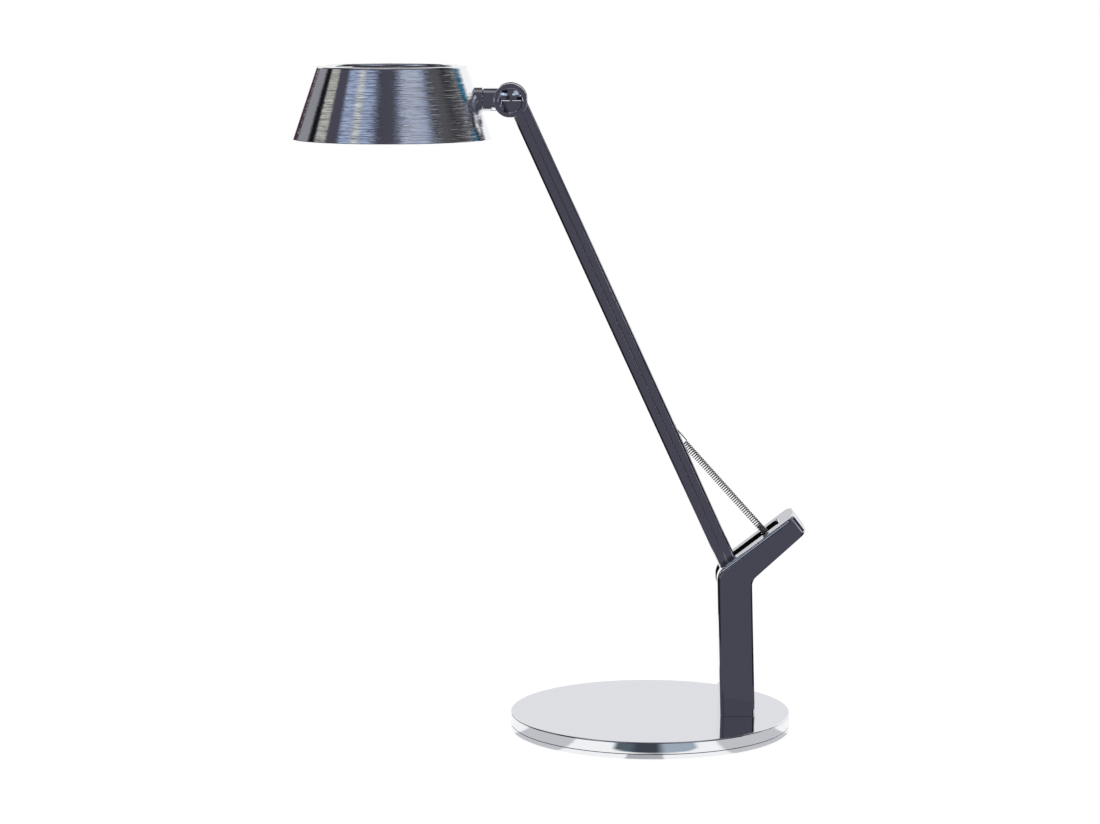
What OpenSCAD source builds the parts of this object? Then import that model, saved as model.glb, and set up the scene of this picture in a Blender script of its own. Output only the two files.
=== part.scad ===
/* [Base] */
// Diameter of the round base
base_d = 180; // [160:1:200]
// Height of the base, foot pad included
base_h = 11.25; // [10:0.05:14]
// Wall of the spun base cover
cover_wall = 1; // [0.8:0.1:1.5]
// Radius of the cover's top edge
cover_edge_r = 0.8; // [0.4:0.1:1]
// Thickness of the steel plate under the base
plate_t = 3; // [2.4:0.1:3.6]
// Radius of the plate's lower edge
plate_edge_r = 0.5; // [0.3:0.1:0.8]
// Height of the shadow gap between the cover and the plate
cover_gap = 0.3; // [0.2:0.05:0.5]
// Thickness of the foot pad
pad_t = 1; // [0.8:0.1:1.4]
// How deep the foot pad sits in the plate
pad_sunk = 0.4; // [0.2:0.1:0.6]
// Width of bare plate outside the foot pad
pad_margin = 5; // [3:0.5:8]
// Number of screws that hold the plate to the ballast
base_screw_n = 4; // [3:1:6]
// Radius of the circle of the base screws
base_screw_circle_r = 66; // [55:1:70]

/* [Stem bracket] */
// Distance of the arm pivot behind the centre of the base
pivot_x = 52.8; // [48:0.1:57]
// Height of the arm pivot above the top of the base
pivot_h = 90.05; // [80:0.05:110]
// Forward lean of the stem, in degrees
stem_lean = 1.5; // [0:0.5:3]
// Width of the bracket from side to side
bracket_d = 38; // [36:0.5:44]
// Distance from the arm pivot to the stem's front face
pivot_front = 10.75; // [10:0.05:12]
// Distance from the arm pivot to the stem's back face
pivot_back = 11.65; // [11:0.05:14]
// Distance from the arm pivot up to the sloping top face
pivot_top = 9.56; // [9:0.02:10.4]
// Distance from the arm pivot down to the sloping underside
pivot_under = 9.23; // [8.6:0.01:11]
// Slope of the top face, in degrees
top_slope = 37.4; // [34:0.1:40]
// Slope of the underside, in degrees
under_slope = 42.3; // [41:0.1:44]
// Distance from the arm pivot to the bracket's upper end, along the top face
bracket_reach = 54.6; // [52:0.2:60]
// Radius of the front corner
corner_r = 9.7; // [8:0.1:10.2]
// Radius of the hollow corner behind the stem
hollow_r = 6.5; // [4:0.5:8]
// Radius along the bracket's long edges
bracket_edge_r = 2.4; // [1:0.1:3]
// Radius of the two corners at the upper end
end_corner_r = 5; // [3:0.5:7]
// Width of the slot for the arm and the spring
slot_w = 16; // [15.8:0.1:18]
// Length of the slot from the arm pivot, along the top face
slot_reach = 42.7; // [40:0.1:46]
// Depth of the slot behind the arm
slot_depth = 12.9; // [12.5:0.1:13.2]
// Radius of the cable bore inside the stem
cable_bore_r = 3; // [2.4:0.1:3.6]
// Height of the cord inlet above the base
inlet_h = 16; // [14:0.5:30]
// Radius of the cord inlet's bore
inlet_bore_r = 2.6; // [2:0.1:3]
// Wall of the inlet bush
inlet_wall = 0.9; // [0.7:0.1:1.2]
// Radius of the inlet bush's flange
inlet_flange_r = 4.9; // [4.6:0.1:6]
// Thickness of the inlet bush's flange
inlet_flange_t = 0.8; // [0.6:0.1:1.2]
// Length of the inlet bush
inlet_l = 6; // [4:0.5:7]

/* [Arm] */
// Lean of the arm from upright, in degrees
arm_tilt = 24.6; // [20:0.1:29]
// Length of the arm from its pivot to the level of the head hinge
arm_l = 335.2; // [300:0.2:360]
// Width of the arm seen from the side
arm_w = 12; // [11.6:0.1:13]
// Depth of the arm from side to side
arm_d = 15; // [14:0.1:15]
// Radius of the arm's long edges
arm_edge_r = 1.8; // [0.8:0.1:2]
// Wall of the two arm shells
arm_wall = 1.4; // [1.2:0.1:1.6]
// Gap that shows as the seam of the arm
arm_seam = 0.3; // [0.2:0.05:0.5]
// How far the back shell's lip reaches into the front shell
lip_l = 1.4; // [1:0.1:1.8]
// How far the arm leans forward from its rest, in degrees
arm_forward = 40; // [30:1:42]
// Spare angle of the slot beyond the arm's forward limit, in degrees
slot_spare = 9; // [5:0.5:10]
// Length of the castings that plug into the arm's ends
plug_l = 30; // [26:1:40]
// Distance of the arm screws from the plug's inner end
plug_screw_in = 9; // [7:0.5:12]
// Radius of the pivot pin
pivot_pin_r = 3; // [2.5:0.1:3.2]
// Radius of the passage for the lead through the arm's ends
lead_r = 1.5; // [1.2:0.1:1.7]

/* [Balance spring] */
// Height of the upper spring pin above the arm pivot, along the arm
spring_up = 102.8; // [90:0.2:120]
// Distance of the upper spring pin behind the arm's middle
spring_back = 2.6; // [2.3:0.1:2.8]
// Distance of the lower spring pin behind the arm pivot
spring_pin_x = 25.1; // [24.6:0.1:26]
// Height of the lower spring pin above the arm pivot
spring_pin_z = 21.4; // [20.9:0.1:21.9]
// Radius of the lower spring pin
spring_pin_r = 0.9; // [0.7:0.05:0.95]
// Radius of the upper spring pin, which the hook hangs on
hook_pin_r = 1.6; // [1.2:0.05:1.6]
// Mean radius of the coil and of its hook
coil_r = 2.1; // [2.1:0.05:2.3]
// Diameter of the spring wire
wire_d = 0.75; // [0.6:0.05:0.75]
// Number of turns
coil_turns = 52; // [40:1:54]
// Straight wire between the upper pin and the first turn
coil_from = 13; // [12:0.5:18]
// Distance of the last turn from the lower pin
coil_short = 7; // [6:0.2:9]
// Sideways play of the lower spring pin in its link
link_play = 4.6; // [4.5:0.1:5]
// Thickness of the link at the spring's lower end
link_t = 1.6; // [1.2:0.1:2.4]

/* [Head hinge] */
// Distance of the hinge in front of the arm's middle
hinge_set = 3.2; // [2.6:0.1:3.4]
// Radius of the hinge's two cheeks
hub_r = 10.7; // [10.6:0.1:11.6]
// Length of the hinge over both cheeks
hub_l = 26; // [24:0.2:30]
// Radius of the arm's knuckle between the cheeks
knuckle_r = 8.2; // [8:0.1:8.4]
// Wall of the yoke behind the knuckle
web_wall = 2.1; // [1.9:0.1:2.2]
// Radius of the cheeks' edges
hub_edge_r = 0.6; // [0.3:0.1:1]
// Radius of the hinge axle
axle_r = 3; // [2.5:0.1:3.4]
// Radius of the two domed caps
cap_r = 7.9; // [7:0.1:8.4]
// Rise of the dome above its edge
cap_rise = 2.6; // [1.5:0.1:3.5]
// Height of the dome's edge
cap_edge = 1.3; // [0.9:0.1:1.6]
// Depth of the seat of each cap
cap_seat = 0.5; // [0.3:0.1:0.8]
// Reach of the web on either side of the neck, in degrees
web_angle = 52; // [46:1:54]
// Thickness of the friction washers
washer_t = 0.4; // [0.3:0.05:0.45]

/* [Neck] */
// Radius of the collar
collar_r = 7.4; // [7:0.1:7.8]
// Length of the collar
collar_l = 6.5; // [5:0.1:9]
// Radius of the boss on the shade
boss_r = 7.9; // [7.5:0.1:8.6]
// Length of the boss outside the shade
boss_l = 2.6; // [2.6:0.1:5]
// Length of the boss inside the shade
boss_in = 3.6; // [3:0.1:4.5]
// Radius of the swivel tube
tube_r = 4; // [3.4:0.1:4.4]
// Radius of the wire passage in the swivel tube
tube_bore_r = 2.5; // [2:0.1:2.8]
// Thickness of the swivel nut
nut_t = 4; // [3:0.1:4.2]
// Radius of the swivel nut over its corners
nut_r = 7.2; // [6.8:0.1:7.4]

/* [Shade] */
// Diameter of the shade's top
shade_top_d = 94.5; // [90:0.5:100]
// Diameter of the shade's mouth
shade_mouth_d = 126; // [120:0.5:140]
// Height of the shade
shade_h = 46; // [43:0.5:56]
// Wall of the spun shade
shade_wall = 1.2; // [1:0.1:1.5]
// Depth of the neck's axis below the shade's top
neck_drop = 21.4; // [20:0.1:23]
// Diameter of the opening in the shade's top
top_open_d = 80; // [76:0.5:82]
// Radius of the rim's edges
rim_r = 1.8; // [1.3:0.1:2.4]
// Depth of the rim's inner lip
lip_h = 7; // [4:0.5:9]
// Height of the retaining ring above the mouth
ring_inset = 2.5; // [1:0.1:3]
// Thickness of the retaining ring
ring_t = 2.5; // [2:0.1:3]
// Width of the retaining ring
ring_w = 6; // [4:0.5:9]
// Thickness of the frosted diffuser
diffuser_t = 2.5; // [2:0.1:3]
// Thickness of the heat sink's plate
sink_t = 3; // [2.8:0.1:3.4]
// Number of heat sink fins
fin_n = 36; // [24:1:40]
// Thickness of a fin
fin_t = 1.4; // [1:0.1:1.6]
// Height of the fins
fin_h = 14; // [10:0.5:16]
// Radius of the LED board
board_r = 46; // [44:0.5:50]
// Thickness of the LED board
board_t = 1.6; // [1.2:0.1:1.8]
// Number of LED rings
chip_rings = 3; // [2:1:3]
// LEDs in the inner ring, and how many more each further ring has
chip_step = 6; // [4:1:8]
// Side of an LED package
chip_w = 3; // [2.4:0.1:3.5]
// Height of an LED package
chip_h = 0.8; // [0.6:0.1:1]
// Wall of the reflector
reflector_wall = 1; // [0.8:0.1:1.4]

/* [Fits and screws] */
// Radial play of a turning fit
run_fit = 0.05; // [0.02:0.01:0.09]
// Radial play of a fixed pin or screw in its hole
pin_fit = 0.03; // [0.02:0.01:0.05]
// Play between pieces that slide together
slide_fit = 0.1; // [0.05:0.01:0.15]
// Play between pieces that pass with room to spare
room = 0.3; // [0.2:0.05:0.4]
// Radius of the two stem screws
stem_screw_r = 2.5; // [2:0.1:3]
// Distance between the stem screws
stem_screw_pitch = 20; // [18:0.5:22]
// Depth of the stem screws in the stem
stem_screw_in = 12; // [10:0.5:16]
// Radius of the small screws
screw_r = 1.5; // [1.2:0.1:1.6]
// Radius of a small screw's head
screw_head_r = 2.8; // [2.6:0.1:3]
// Height of a small screw's head
screw_head_h = 1.6; // [1.4:0.1:1.8]

/* [Hidden] */

$fn = 96;
over = 1;

// Heights in the base
base_r = base_d / 2;
plate_z = pad_t - pad_sunk;
plate_top = plate_z + plate_t;
cover_z = plate_top + cover_gap;
ballast_t = base_h - cover_wall - plate_top;
ballast_r = base_r - cover_wall - room;
pad_r = base_r - pad_margin;
// A cap head's radius and height as shares of its thread's radius
cap_head_wide = 1.7;
cap_head_tall = 1.6;
stem_head_r = stem_screw_r * cap_head_wide;
stem_head_h = stem_screw_r * cap_head_tall;

// Directions in the bracket's side view, as angles of the outward normals
front_a = 180 + stem_lean;
back_a = stem_lean;
top_a = 90 + top_slope;
under_a = 270 + under_slope;
pivot_z = base_h + pivot_h;
stem_w = pivot_front + pivot_back;
foot_x = pivot_x + (pivot_back - pivot_front) / 2 + pivot_h * tan(stem_lean);
corner_c = meet(front_a, pivot_front - corner_r, top_a, pivot_top - corner_r);
hollow_c = meet(back_a, pivot_back + hollow_r, under_a, pivot_under + hollow_r);
corner_stem = along(corner_c, 90 + stem_lean);
corner_along = along(corner_c, top_slope);
// The two turned corners stand off the flat faces by this much, and run on past them by this angle
blend = 0.05;
lap = 2;
lap_in = corner_r * sin(lap) / 2;
corner_core_r = corner_r - 1.2 * bracket_edge_r;
pocket_r = arm_w / 2 + 4 * room;
forward_a = arm_tilt + arm_forward + slot_spare;
bar_deep = bracket_reach + 2 * bracket_edge_r;
pin_skin = 5;
blind = bracket_d / 2 - pin_skin;
pin_head_r = pivot_pin_r * cap_head_tall;
pin_head_h = 3;

// The arm's inside and its ends
hollow_w = arm_w - 2 * arm_wall;
hollow_d = arm_d - 2 * arm_wall;
foot_r = arm_w / 2;
arm_from = foot_r / 2;
arm_to = arm_l - knuckle_r / 2;
lead_x = -hollow_w / 2 + lead_r + slide_fit;
lead_y = hollow_d / 2 - lead_r - 4 * room;
mouth_l = 26;
mouth_w = 2 * coil_r + wire_d + 4 * room;
plug_from = 0.6 * foot_r;
plug_to = arm_l - knuckle_r / 3;
low_screw = plug_l - plug_screw_in;
high_screw = arm_l - plug_l + plug_screw_in;

// The spring's two pins in the arm pivot's frame, and the line between them
pin_a = [
    spring_back * cos(arm_tilt) - spring_up * sin(arm_tilt),
    spring_back * sin(arm_tilt) + spring_up * cos(arm_tilt)
];
pin_b = [spring_pin_x, spring_pin_z];
spring_l = norm(pin_b - pin_a);
spring_a = atan2(pin_b[0] - pin_a[0], pin_b[1] - pin_a[1]);
coil_to = spring_l - coil_short;
coil_pitch = (coil_to - coil_from) / coil_turns;
pitch_a = atan(coil_pitch / (2 * PI * coil_r));
bend_r = 1;
rings_per_turn = 8;
wire_sides = 6;
hook_turn = 260;
hook_steps = 13;
wire_steps = 4;
link_hole_r = spring_pin_r + 2 * room;
link_edge = 0.9;
link_turns = 4;
link_plug_r = coil_r - wire_d / 2 - 1.5 * slide_fit;

// The head hinge in the part's frame, and the shade beside it
hinge_x = pivot_x - arm_l * sin(arm_tilt) - hinge_set * cos(arm_tilt);
hinge_z = pivot_z + arm_l * cos(arm_tilt) - hinge_set * sin(arm_tilt);
cheek_in = arm_d / 2 + washer_t + slide_fit;
cap_sphere_r = (pow(cap_r, 2) + pow(cap_rise, 2)) / (2 * cap_rise);
axle_out = 1.2;
axle_half = hub_l / 2 + axle_out;
shade_slope = atan((shade_mouth_d - shade_top_d) / 2 / shade_h);
neck_up = shade_h - neck_drop;
collar_end = -hub_r - collar_l;
boss_end = collar_end - washer_t;
shade_x = boss_end - boss_l - shade_r(neck_up);
boss_inner = shade_x + shade_r(neck_up) - boss_in;
nut_from = boss_inner - washer_t;
tube_end = nut_from - nut_t - 1;
fin_r = tube_end - shade_x - 5 * room;
fin_core_r = fin_r / 5;
fin_from = fin_r / 6;

// Heights in the shade, from its mouth up
ring_top = ring_inset + ring_t;
diffuser_top = ring_top + diffuser_t;
sink_top = neck_up - boss_r - room;
sink_z = sink_top - sink_t;
board_z = sink_z - board_t;
chip_pitch = (board_r - chip_w) / (chip_rings + 0.1);
head_screw_ring = 1.53 * chip_pitch;
head_screw_n = 3;

// The point that lies at distance d1 along the direction a1 and d2 along a2
function meet(a1, d1, a2, d2) = [
    (d1 * sin(a2) - d2 * sin(a1)) / sin(a2 - a1),
    (d2 * cos(a1) - d1 * cos(a2)) / sin(a2 - a1)
];

// How far a point lies along a direction
function along(point, a) = point[0] * cos(a) + point[1] * sin(a);

// A point from its distance along the top face and its height over the pivot's level
function on_slope(far, up) = [
    far * cos(top_slope) - up * sin(top_slope),
    far * sin(top_slope) + up * cos(top_slope)
];

// Outer and inner radius of the shade at a height above its mouth
function shade_r(z) = shade_mouth_d / 2 - z * tan(shade_slope);
function shade_in_r(z) = shade_r(z) - shade_wall / cos(shade_slope);

module rounded(w, d, r) {
    square([w - 2 * r, d], center = true);
    square([w, d - 2 * r], center = true);
    for (sx = [-1, 1], sy = [-1, 1])
        translate([sx * (w / 2 - r), sy * (d / 2 - r)])
            circle(r);
}

// Half section of a disc or ring whose outer edges are rounded, for turning
module disc_half(inner, r, width, edge) {
    translate([inner, -width / 2])
        square([r - edge - inner, width]);
    translate([inner, edge - width / 2])
        square([r - inner, width - 2 * edge]);
    for (s = [-1, 1])
        translate([r - edge, s * (width / 2 - edge)])
            circle(edge);
}

// Puts a shape drawn in the side view, x to the back and y up, into the XZ plane
module side_view() {
    rotate([90, 0, 0])
        children();
}

// A round bar along Y between two stations
module cross_bar(r, from, to) {
    translate([0, to, 0])
        rotate([90, 0, 0])
            cylinder(r = r, h = to - from);
}

// A round bar along X between two stations
module long_bar(r, from, to) {
    translate([from, 0, 0])
        rotate([0, 90, 0])
            cylinder(r = r, h = to - from);
}

module at_pivot() {
    translate([pivot_x, 0, pivot_z])
        children();
}

module in_stem() {
    at_pivot()
        rotate([0, -stem_lean, 0])
            children();
}

module in_arm() {
    at_pivot()
        rotate([0, -arm_tilt, 0])
            children();
}

module in_spring() {
    at_pivot()
        translate([pin_a[0], 0, pin_a[1]])
            rotate([0, spring_a, 0])
                children();
}

module at_hinge() {
    translate([hinge_x, 0, hinge_z])
        children();
}

module in_head() {
    translate([hinge_x + shade_x, 0, hinge_z - neck_up])
        children();
}

module at_stem_screws() {
    for (s = [-1, 1])
        translate([foot_x, s * stem_screw_pitch / 2, 0])
            children();
}

module at_base_screws() {
    for (i = [0 : base_screw_n - 1])
        rotate([0, 0, (i + 0.5) * 360 / base_screw_n])
            translate([base_screw_circle_r, 0, 0])
                children();
}

module at_head_screws() {
    for (i = [0 : head_screw_n - 1])
        rotate([0, 0, (i + 0.5) * 360 / head_screw_n])
            translate([head_screw_ring, 0, 0])
                children();
}

module base_cover() {
    color("gainsboro")
        difference() {
            translate([0, 0, cover_z])
                rotate_extrude()
                    difference() {
                        cover_section(base_h - cover_z);
                        square([base_r - cover_wall, base_h - cover_z - cover_wall]);
                    }
            at_stem_screws()
                cylinder(r = stem_screw_r + room, h = base_h + over);
        }
}

module cover_section(h) {
    square([base_r - cover_edge_r, h]);
    square([base_r, h - cover_edge_r]);
    translate([base_r - cover_edge_r, h - cover_edge_r])
        circle(cover_edge_r);
}

module ballast_disc() {
    color("dimgray")
        difference() {
            translate([0, 0, plate_top])
                cylinder(r = ballast_r, h = ballast_t);
            at_stem_screws() {
                cylinder(r = stem_screw_r + pin_fit, h = base_h);
                cylinder(r = stem_head_r + room, h = plate_top + stem_head_h);
            }
            at_base_screws()
                cylinder(r = screw_r + pin_fit, h = base_h - cover_wall - over);
        }
}

module base_plate() {
    color("silver")
        difference() {
            translate([0, 0, plate_top])
                mirror([0, 0, 1])
                    rotate_extrude()
                        plate_section();
            cylinder(r = pad_r + slide_fit, h = pad_t);
            at_base_screws() {
                cylinder(r = screw_r + slide_fit, h = base_h);
                translate([0, 0, pad_t])
                    screw_sink();
            }
        }
}

module plate_section() {
    square([base_r - plate_edge_r, plate_t]);
    square([base_r, plate_t - plate_edge_r]);
    translate([base_r - plate_edge_r, plate_t - plate_edge_r])
        circle(plate_edge_r);
}

module screw_sink() {
    translate([0, 0, -over])
        cylinder(r = screw_head_r + slide_fit, h = over);
    cylinder(r1 = screw_head_r + slide_fit, r2 = screw_r + slide_fit, h = screw_head_h);
}

module foot_pad() {
    color("black")
        cylinder(r = pad_r, h = pad_t);
}

module base_screws() {
    color("dimgray")
        at_base_screws()
            translate([0, 0, pad_t]) {
                cylinder(r1 = screw_head_r, r2 = screw_r, h = screw_head_h);
                cylinder(r = screw_r, h = base_h - cover_wall - over - pad_t - room);
            }
}

module stem_screws() {
    color("dimgray")
        at_stem_screws() {
            translate([0, 0, plate_top + stem_head_h])
                mirror([0, 0, 1])
                    socket_head(stem_head_r, stem_head_h, stem_screw_r);
            cylinder_between(stem_screw_r, plate_top + stem_head_h, base_h + stem_screw_in);
        }
}

module cylinder_between(r, from, to) {
    translate([0, 0, from])
        cylinder(r = r, h = to - from);
}

// A cap head with its hexagon socket, from the seat up
module socket_head(r, h, thread_r) {
    difference() {
        cylinder(r = r, h = h);
        translate([0, 0, h / 2])
            cylinder(r = thread_r, h = h, $fn = 6);
    }
}

module bracket() {
    color("silver")
        difference() {
            at_pivot()
                bracket_body();
            cylinder(r = base_r, h = base_h);
            at_pivot() {
                slot_cut();
                cross_bar(pivot_pin_r + pin_fit, -blind, bracket_d);
                cross_bar(pin_head_r + slide_fit, bracket_d / 2 - pin_head_h, bracket_d);
                translate([pin_b[0], 0, pin_b[1]])
                    cross_bar(spring_pin_r + pin_fit, -blind, bracket_d);
            }
            in_stem() {
                cylinder_between(cable_bore_r, inlet_h - pivot_h - cable_bore_r, 0);
                translate([0, 0, inlet_h - pivot_h])
                    inlet_cut();
            }
            at_stem_screws()
                cylinder(r = stem_screw_r + pin_fit, h = base_h + stem_screw_in + over);
        }
}

// The solid bracket, joined piece by piece
module bracket_body() {
    union() {
        union() {
            union() {
                stem_and_core();
                head_bar();
            }
            front_corner();
        }
        hollow_corner();
    }
}

module stem_and_core() {
    rotate([0, -stem_lean, 0])
        translate([(pivot_back - pivot_front) / 2, 0, -pivot_h - base_h / 2])
            linear_extrude(pivot_h + base_h / 2 + corner_stem - lap_in)
                rounded(stem_w, bracket_d, bracket_edge_r);
    translate([corner_c[0], 0, corner_c[1]])
        cross_bar(corner_core_r, -bracket_d / 2 - blend / 2, bracket_d / 2 + blend / 2);
}

module front_corner() {
    translate([corner_c[0], 0, corner_c[1]])
        side_view()
            rotate([0, 0, top_a - lap])
                rotate_extrude(angle = front_a - top_a + 2 * lap)
                    disc_half(corner_core_r / 2, corner_r + blend, bracket_d + 2 * blend, bracket_edge_r);
}

module hollow_corner() {
    translate([hollow_c[0], 0, hollow_c[1]])
        side_view()
            rotate([0, 0, under_a - 180 - lap])
                rotate_extrude(angle = back_a + 360 - under_a + 2 * lap)
                    hollow_half(hollow_r - blend);
}

module head_bar() {
    intersection() {
        rotate([0, -top_slope, 0])
            top_bar();
        rotate([0, -under_slope, 0])
            under_bar();
    }
}

// The bracket's head with its top edges rounded and the corners of its end turned
module top_bar() {
    intersection() {
        translate([corner_along + lap_in, 0, pivot_top - bar_deep / 2])
            rotate([90, 0, 90])
                linear_extrude(bracket_reach - corner_along - lap_in)
                    rounded(bracket_d, bar_deep, bracket_edge_r);
        translate([bracket_reach - bar_deep, 0, pivot_top - bar_deep])
            linear_extrude(bar_deep + over)
                rounded(2 * bar_deep, bracket_d, end_corner_r);
    }
}

module under_bar() {
    translate([-bar_deep, 0, bar_deep - pivot_under])
        rotate([90, 0, 90])
            linear_extrude(3 * bar_deep)
                rounded(bracket_d, 2 * bar_deep, bracket_edge_r);
}

// Half section of the hollow corner, for turning: it starts at the radius given
module hollow_half(r) {
    half = bracket_d / 2 + blend;
    translate([r + bracket_edge_r, -half])
        square([bracket_edge_r, 2 * half]);
    translate([r, bracket_edge_r - half])
        square([2 * bracket_edge_r, 2 * (half - bracket_edge_r)]);
    for (s = [-1, 1])
        translate([r + bracket_edge_r, s * (half - bracket_edge_r)])
            circle(bracket_edge_r);
}

// The open slot that the arm and the spring move in
module slot_cut() {
    far = bracket_reach;
    front = pocket_r * [cos(180 + forward_a), sin(180 + forward_a)];
    ahead = far * [cos(90 + forward_a), sin(90 + forward_a)];
    floor_up = pivot_top - slot_depth;
    side_view()
        linear_extrude(slot_w, center = true) {
            circle(pocket_r);
            polygon([
                front,
                front + ahead,
                [-far, far],
                on_slope(slot_reach, far),
                on_slope(slot_reach, floor_up),
                on_slope(0, floor_up)
            ]);
        }
}

module inlet_cut() {
    long_bar(inlet_bore_r + inlet_wall + pin_fit, 0, pivot_back + over);
    long_bar(inlet_flange_r + slide_fit, pivot_back - inlet_flange_t, pivot_back + over);
}

module inlet_bush() {
    color("black")
        in_stem()
            translate([0, 0, inlet_h - pivot_h])
                difference() {
                    union() {
                        long_bar(inlet_bore_r + inlet_wall, pivot_back - inlet_l, pivot_back);
                        long_bar(inlet_flange_r, pivot_back - inlet_flange_t, pivot_back);
                    }
                    long_bar(inlet_bore_r, 0, pivot_back + over);
                }
}

module pivot_pin() {
    color("silver")
        at_pivot() {
            cross_bar(pivot_pin_r, room - blind, bracket_d / 2 - pin_head_h);
            translate([0, bracket_d / 2 - pin_head_h, 0])
                rotate([-90, 0, 0])
                    socket_head(pin_head_r, pin_head_h, pivot_pin_r);
        }
}

module pivot_washers() {
    color("dimgray")
        at_pivot()
            for (s = [-1, 1])
                translate([0, s * (arm_d / 2 + slot_w / 2) / 2, 0])
                    washer_across(pivot_pin_r + pin_fit, foot_r - room, (slot_w - arm_d) / 2 - slide_fit);
}

// A washer whose axis lies along Y, centred on the origin
module washer_across(inner, outer, thick) {
    difference() {
        cross_bar(outer, -thick / 2, thick / 2);
        cross_bar(inner, -thick, thick);
    }
}

module spring_pin_lower() {
    color("silver")
        at_pivot()
            translate([pin_b[0], 0, pin_b[1]])
                cross_bar(spring_pin_r, room - blind, bracket_d / 2 - room);
}

// Cuts both shells clear of the castings at the arm's ends
module arm_end_cuts() {
    cross_bar(foot_r + room, -arm_d, arm_d);
    translate([-hinge_set, 0, arm_l])
        cross_bar(knuckle_r + room, -arm_d, arm_d);
    translate([spring_back, 0, spring_up])
        cross_bar(hook_pin_r + pin_fit, room - arm_d / 2, arm_d / 2 - room);
}

module arm_section() {
    difference() {
        rounded(arm_w, arm_d, arm_edge_r);
        square([hollow_w, hollow_d], center = true);
    }
}

// Both side lips of the back shell, grown by the play given
module lips(play) {
    for (s = [-1, 1])
        translate([-arm_seam / 2 - lip_l - play, s * (hollow_d + arm_wall / 2) / 2 - arm_wall / 4 - play])
            square([lip_l + arm_seam + 2 * play, arm_wall / 2 + 2 * play]);
}

module arm_front() {
    color("silver")
        in_arm()
            difference() {
                translate([0, 0, arm_from])
                    linear_extrude(arm_to - arm_from)
                        difference() {
                            arm_section();
                            translate([-arm_seam / 2, -arm_d])
                                square([arm_w, 2 * arm_d]);
                            lips(slide_fit);
                        }
                arm_end_cuts();
            }
}

module arm_back() {
    color("gainsboro")
        in_arm()
            difference() {
                translate([0, 0, arm_from])
                    linear_extrude(arm_to - arm_from) {
                        difference() {
                            arm_section();
                            translate([arm_seam / 2 - arm_w, -arm_d])
                                square([arm_w, 2 * arm_d]);
                        }
                        lips(0);
                    }
                arm_end_cuts();
                spring_mouth();
                for (z = [low_screw, high_screw])
                    translate([arm_w / 2, 0, z])
                        rotate([0, -90, 0]) {
                            screw_sink();
                            cylinder(r = screw_r + slide_fit, h = 2 * arm_wall);
                        }
            }
}

// The mouth in the back shell that the spring's first turns enter by
module spring_mouth() {
    translate([hollow_w / 2 - over, -mouth_w / 2, spring_up - mouth_l + coil_r])
        cube([2 * arm_wall + over, mouth_w, mouth_l]);
}

// The rectangular plug of a casting, with its screw hole and its passage for the lead
module arm_plug(from, to, screw_z) {
    difference() {
        translate([-hollow_w / 2 + slide_fit, -hollow_d / 2 + slide_fit, from])
            cube([hollow_w - 2 * slide_fit, hollow_d - 2 * slide_fit, to - from]);
        translate([lead_x, lead_y, from - over])
            cylinder(r = lead_r + slide_fit, h = to - from + 2 * over);
        translate([0, 0, screw_z])
            long_bar(screw_r + pin_fit, -hollow_w / 4, hollow_w);
    }
}

module arm_foot() {
    color("dimgray")
        in_arm()
            difference() {
                union() {
                    cross_bar(foot_r, -arm_d / 2, arm_d / 2);
                    arm_plug(plug_from, plug_l, low_screw);
                }
                cross_bar(pivot_pin_r + run_fit, -arm_d, arm_d);
            }
}

module arm_knuckle() {
    color("dimgray")
        in_arm()
            difference() {
                union() {
                    translate([-hinge_set, 0, arm_l])
                        cross_bar(knuckle_r, -arm_d / 2, arm_d / 2);
                    arm_plug(arm_l - plug_l, plug_to, high_screw);
                }
                translate([-hinge_set, 0, arm_l])
                    cross_bar(axle_r + run_fit, -arm_d, arm_d);
            }
}

module arm_screws() {
    color("dimgray")
        in_arm()
            for (z = [low_screw, high_screw])
                translate([arm_w / 2, 0, z])
                    rotate([0, -90, 0]) {
                        cylinder(r1 = screw_head_r, r2 = screw_r, h = screw_head_h);
                        cylinder(r = screw_r, h = arm_w / 2);
                    }
}

module spring_pin_upper() {
    color("silver")
        in_arm()
            translate([spring_back, 0, spring_up])
                cross_bar(hook_pin_r, 2 * room - arm_d / 2, arm_d / 2 - 2 * room);
}

// Stations of the wire: each has its centre, its outward direction and its third direction.
// The hook goes round the upper pin, from its tip to the straight wire
hook_stations = [
    for (i = [0 : hook_steps])
        let (a = 180 + hook_turn * (1 - i / hook_steps))
        [coil_r * [cos(a), 0, sin(a)], [cos(a), 0, sin(a)], [0, -1, 0]]
];

// The straight wire down to the coil
straight_stations = [
    for (i = [1 : wire_steps])
        [[-coil_r, 0, (coil_from - bend_r) * i / wire_steps], [-1, 0, 0], [0, -1, 0]]
];

// The bend from the straight wire into the first turn, on the coil's own cylinder
bend_stations = [
    for (i = [1 : wire_steps])
        let (
            q = (90 - pitch_a) * i / wire_steps,
            t = 180 + bend_r * (1 - cos(q)) / coil_r * 180 / PI,
            out = [cos(t), sin(t), 0],
            run = [-sin(t) * sin(q), cos(t) * sin(q), cos(q)]
        )
        [[coil_r * cos(t), coil_r * sin(t), coil_from - bend_r + bend_r * sin(q)], out, cross(run, out)]
];

coil_start_t = 180 + bend_r * (1 - cos(90 - pitch_a)) / coil_r * 180 / PI;
coil_stations = [
    for (i = [1 : coil_turns * rings_per_turn])
        let (
            t = coil_start_t + 360 * i / rings_per_turn,
            out = [cos(t), sin(t), 0],
            run = [-sin(t) * cos(pitch_a), cos(t) * cos(pitch_a), sin(pitch_a)]
        )
        [
            [coil_r * cos(t), coil_r * sin(t), coil_from + coil_pitch * i / rings_per_turn],
            out,
            cross(run, out)
        ]
];

wire_stations = concat(hook_stations, straight_stations, bend_stations, coil_stations);

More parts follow.
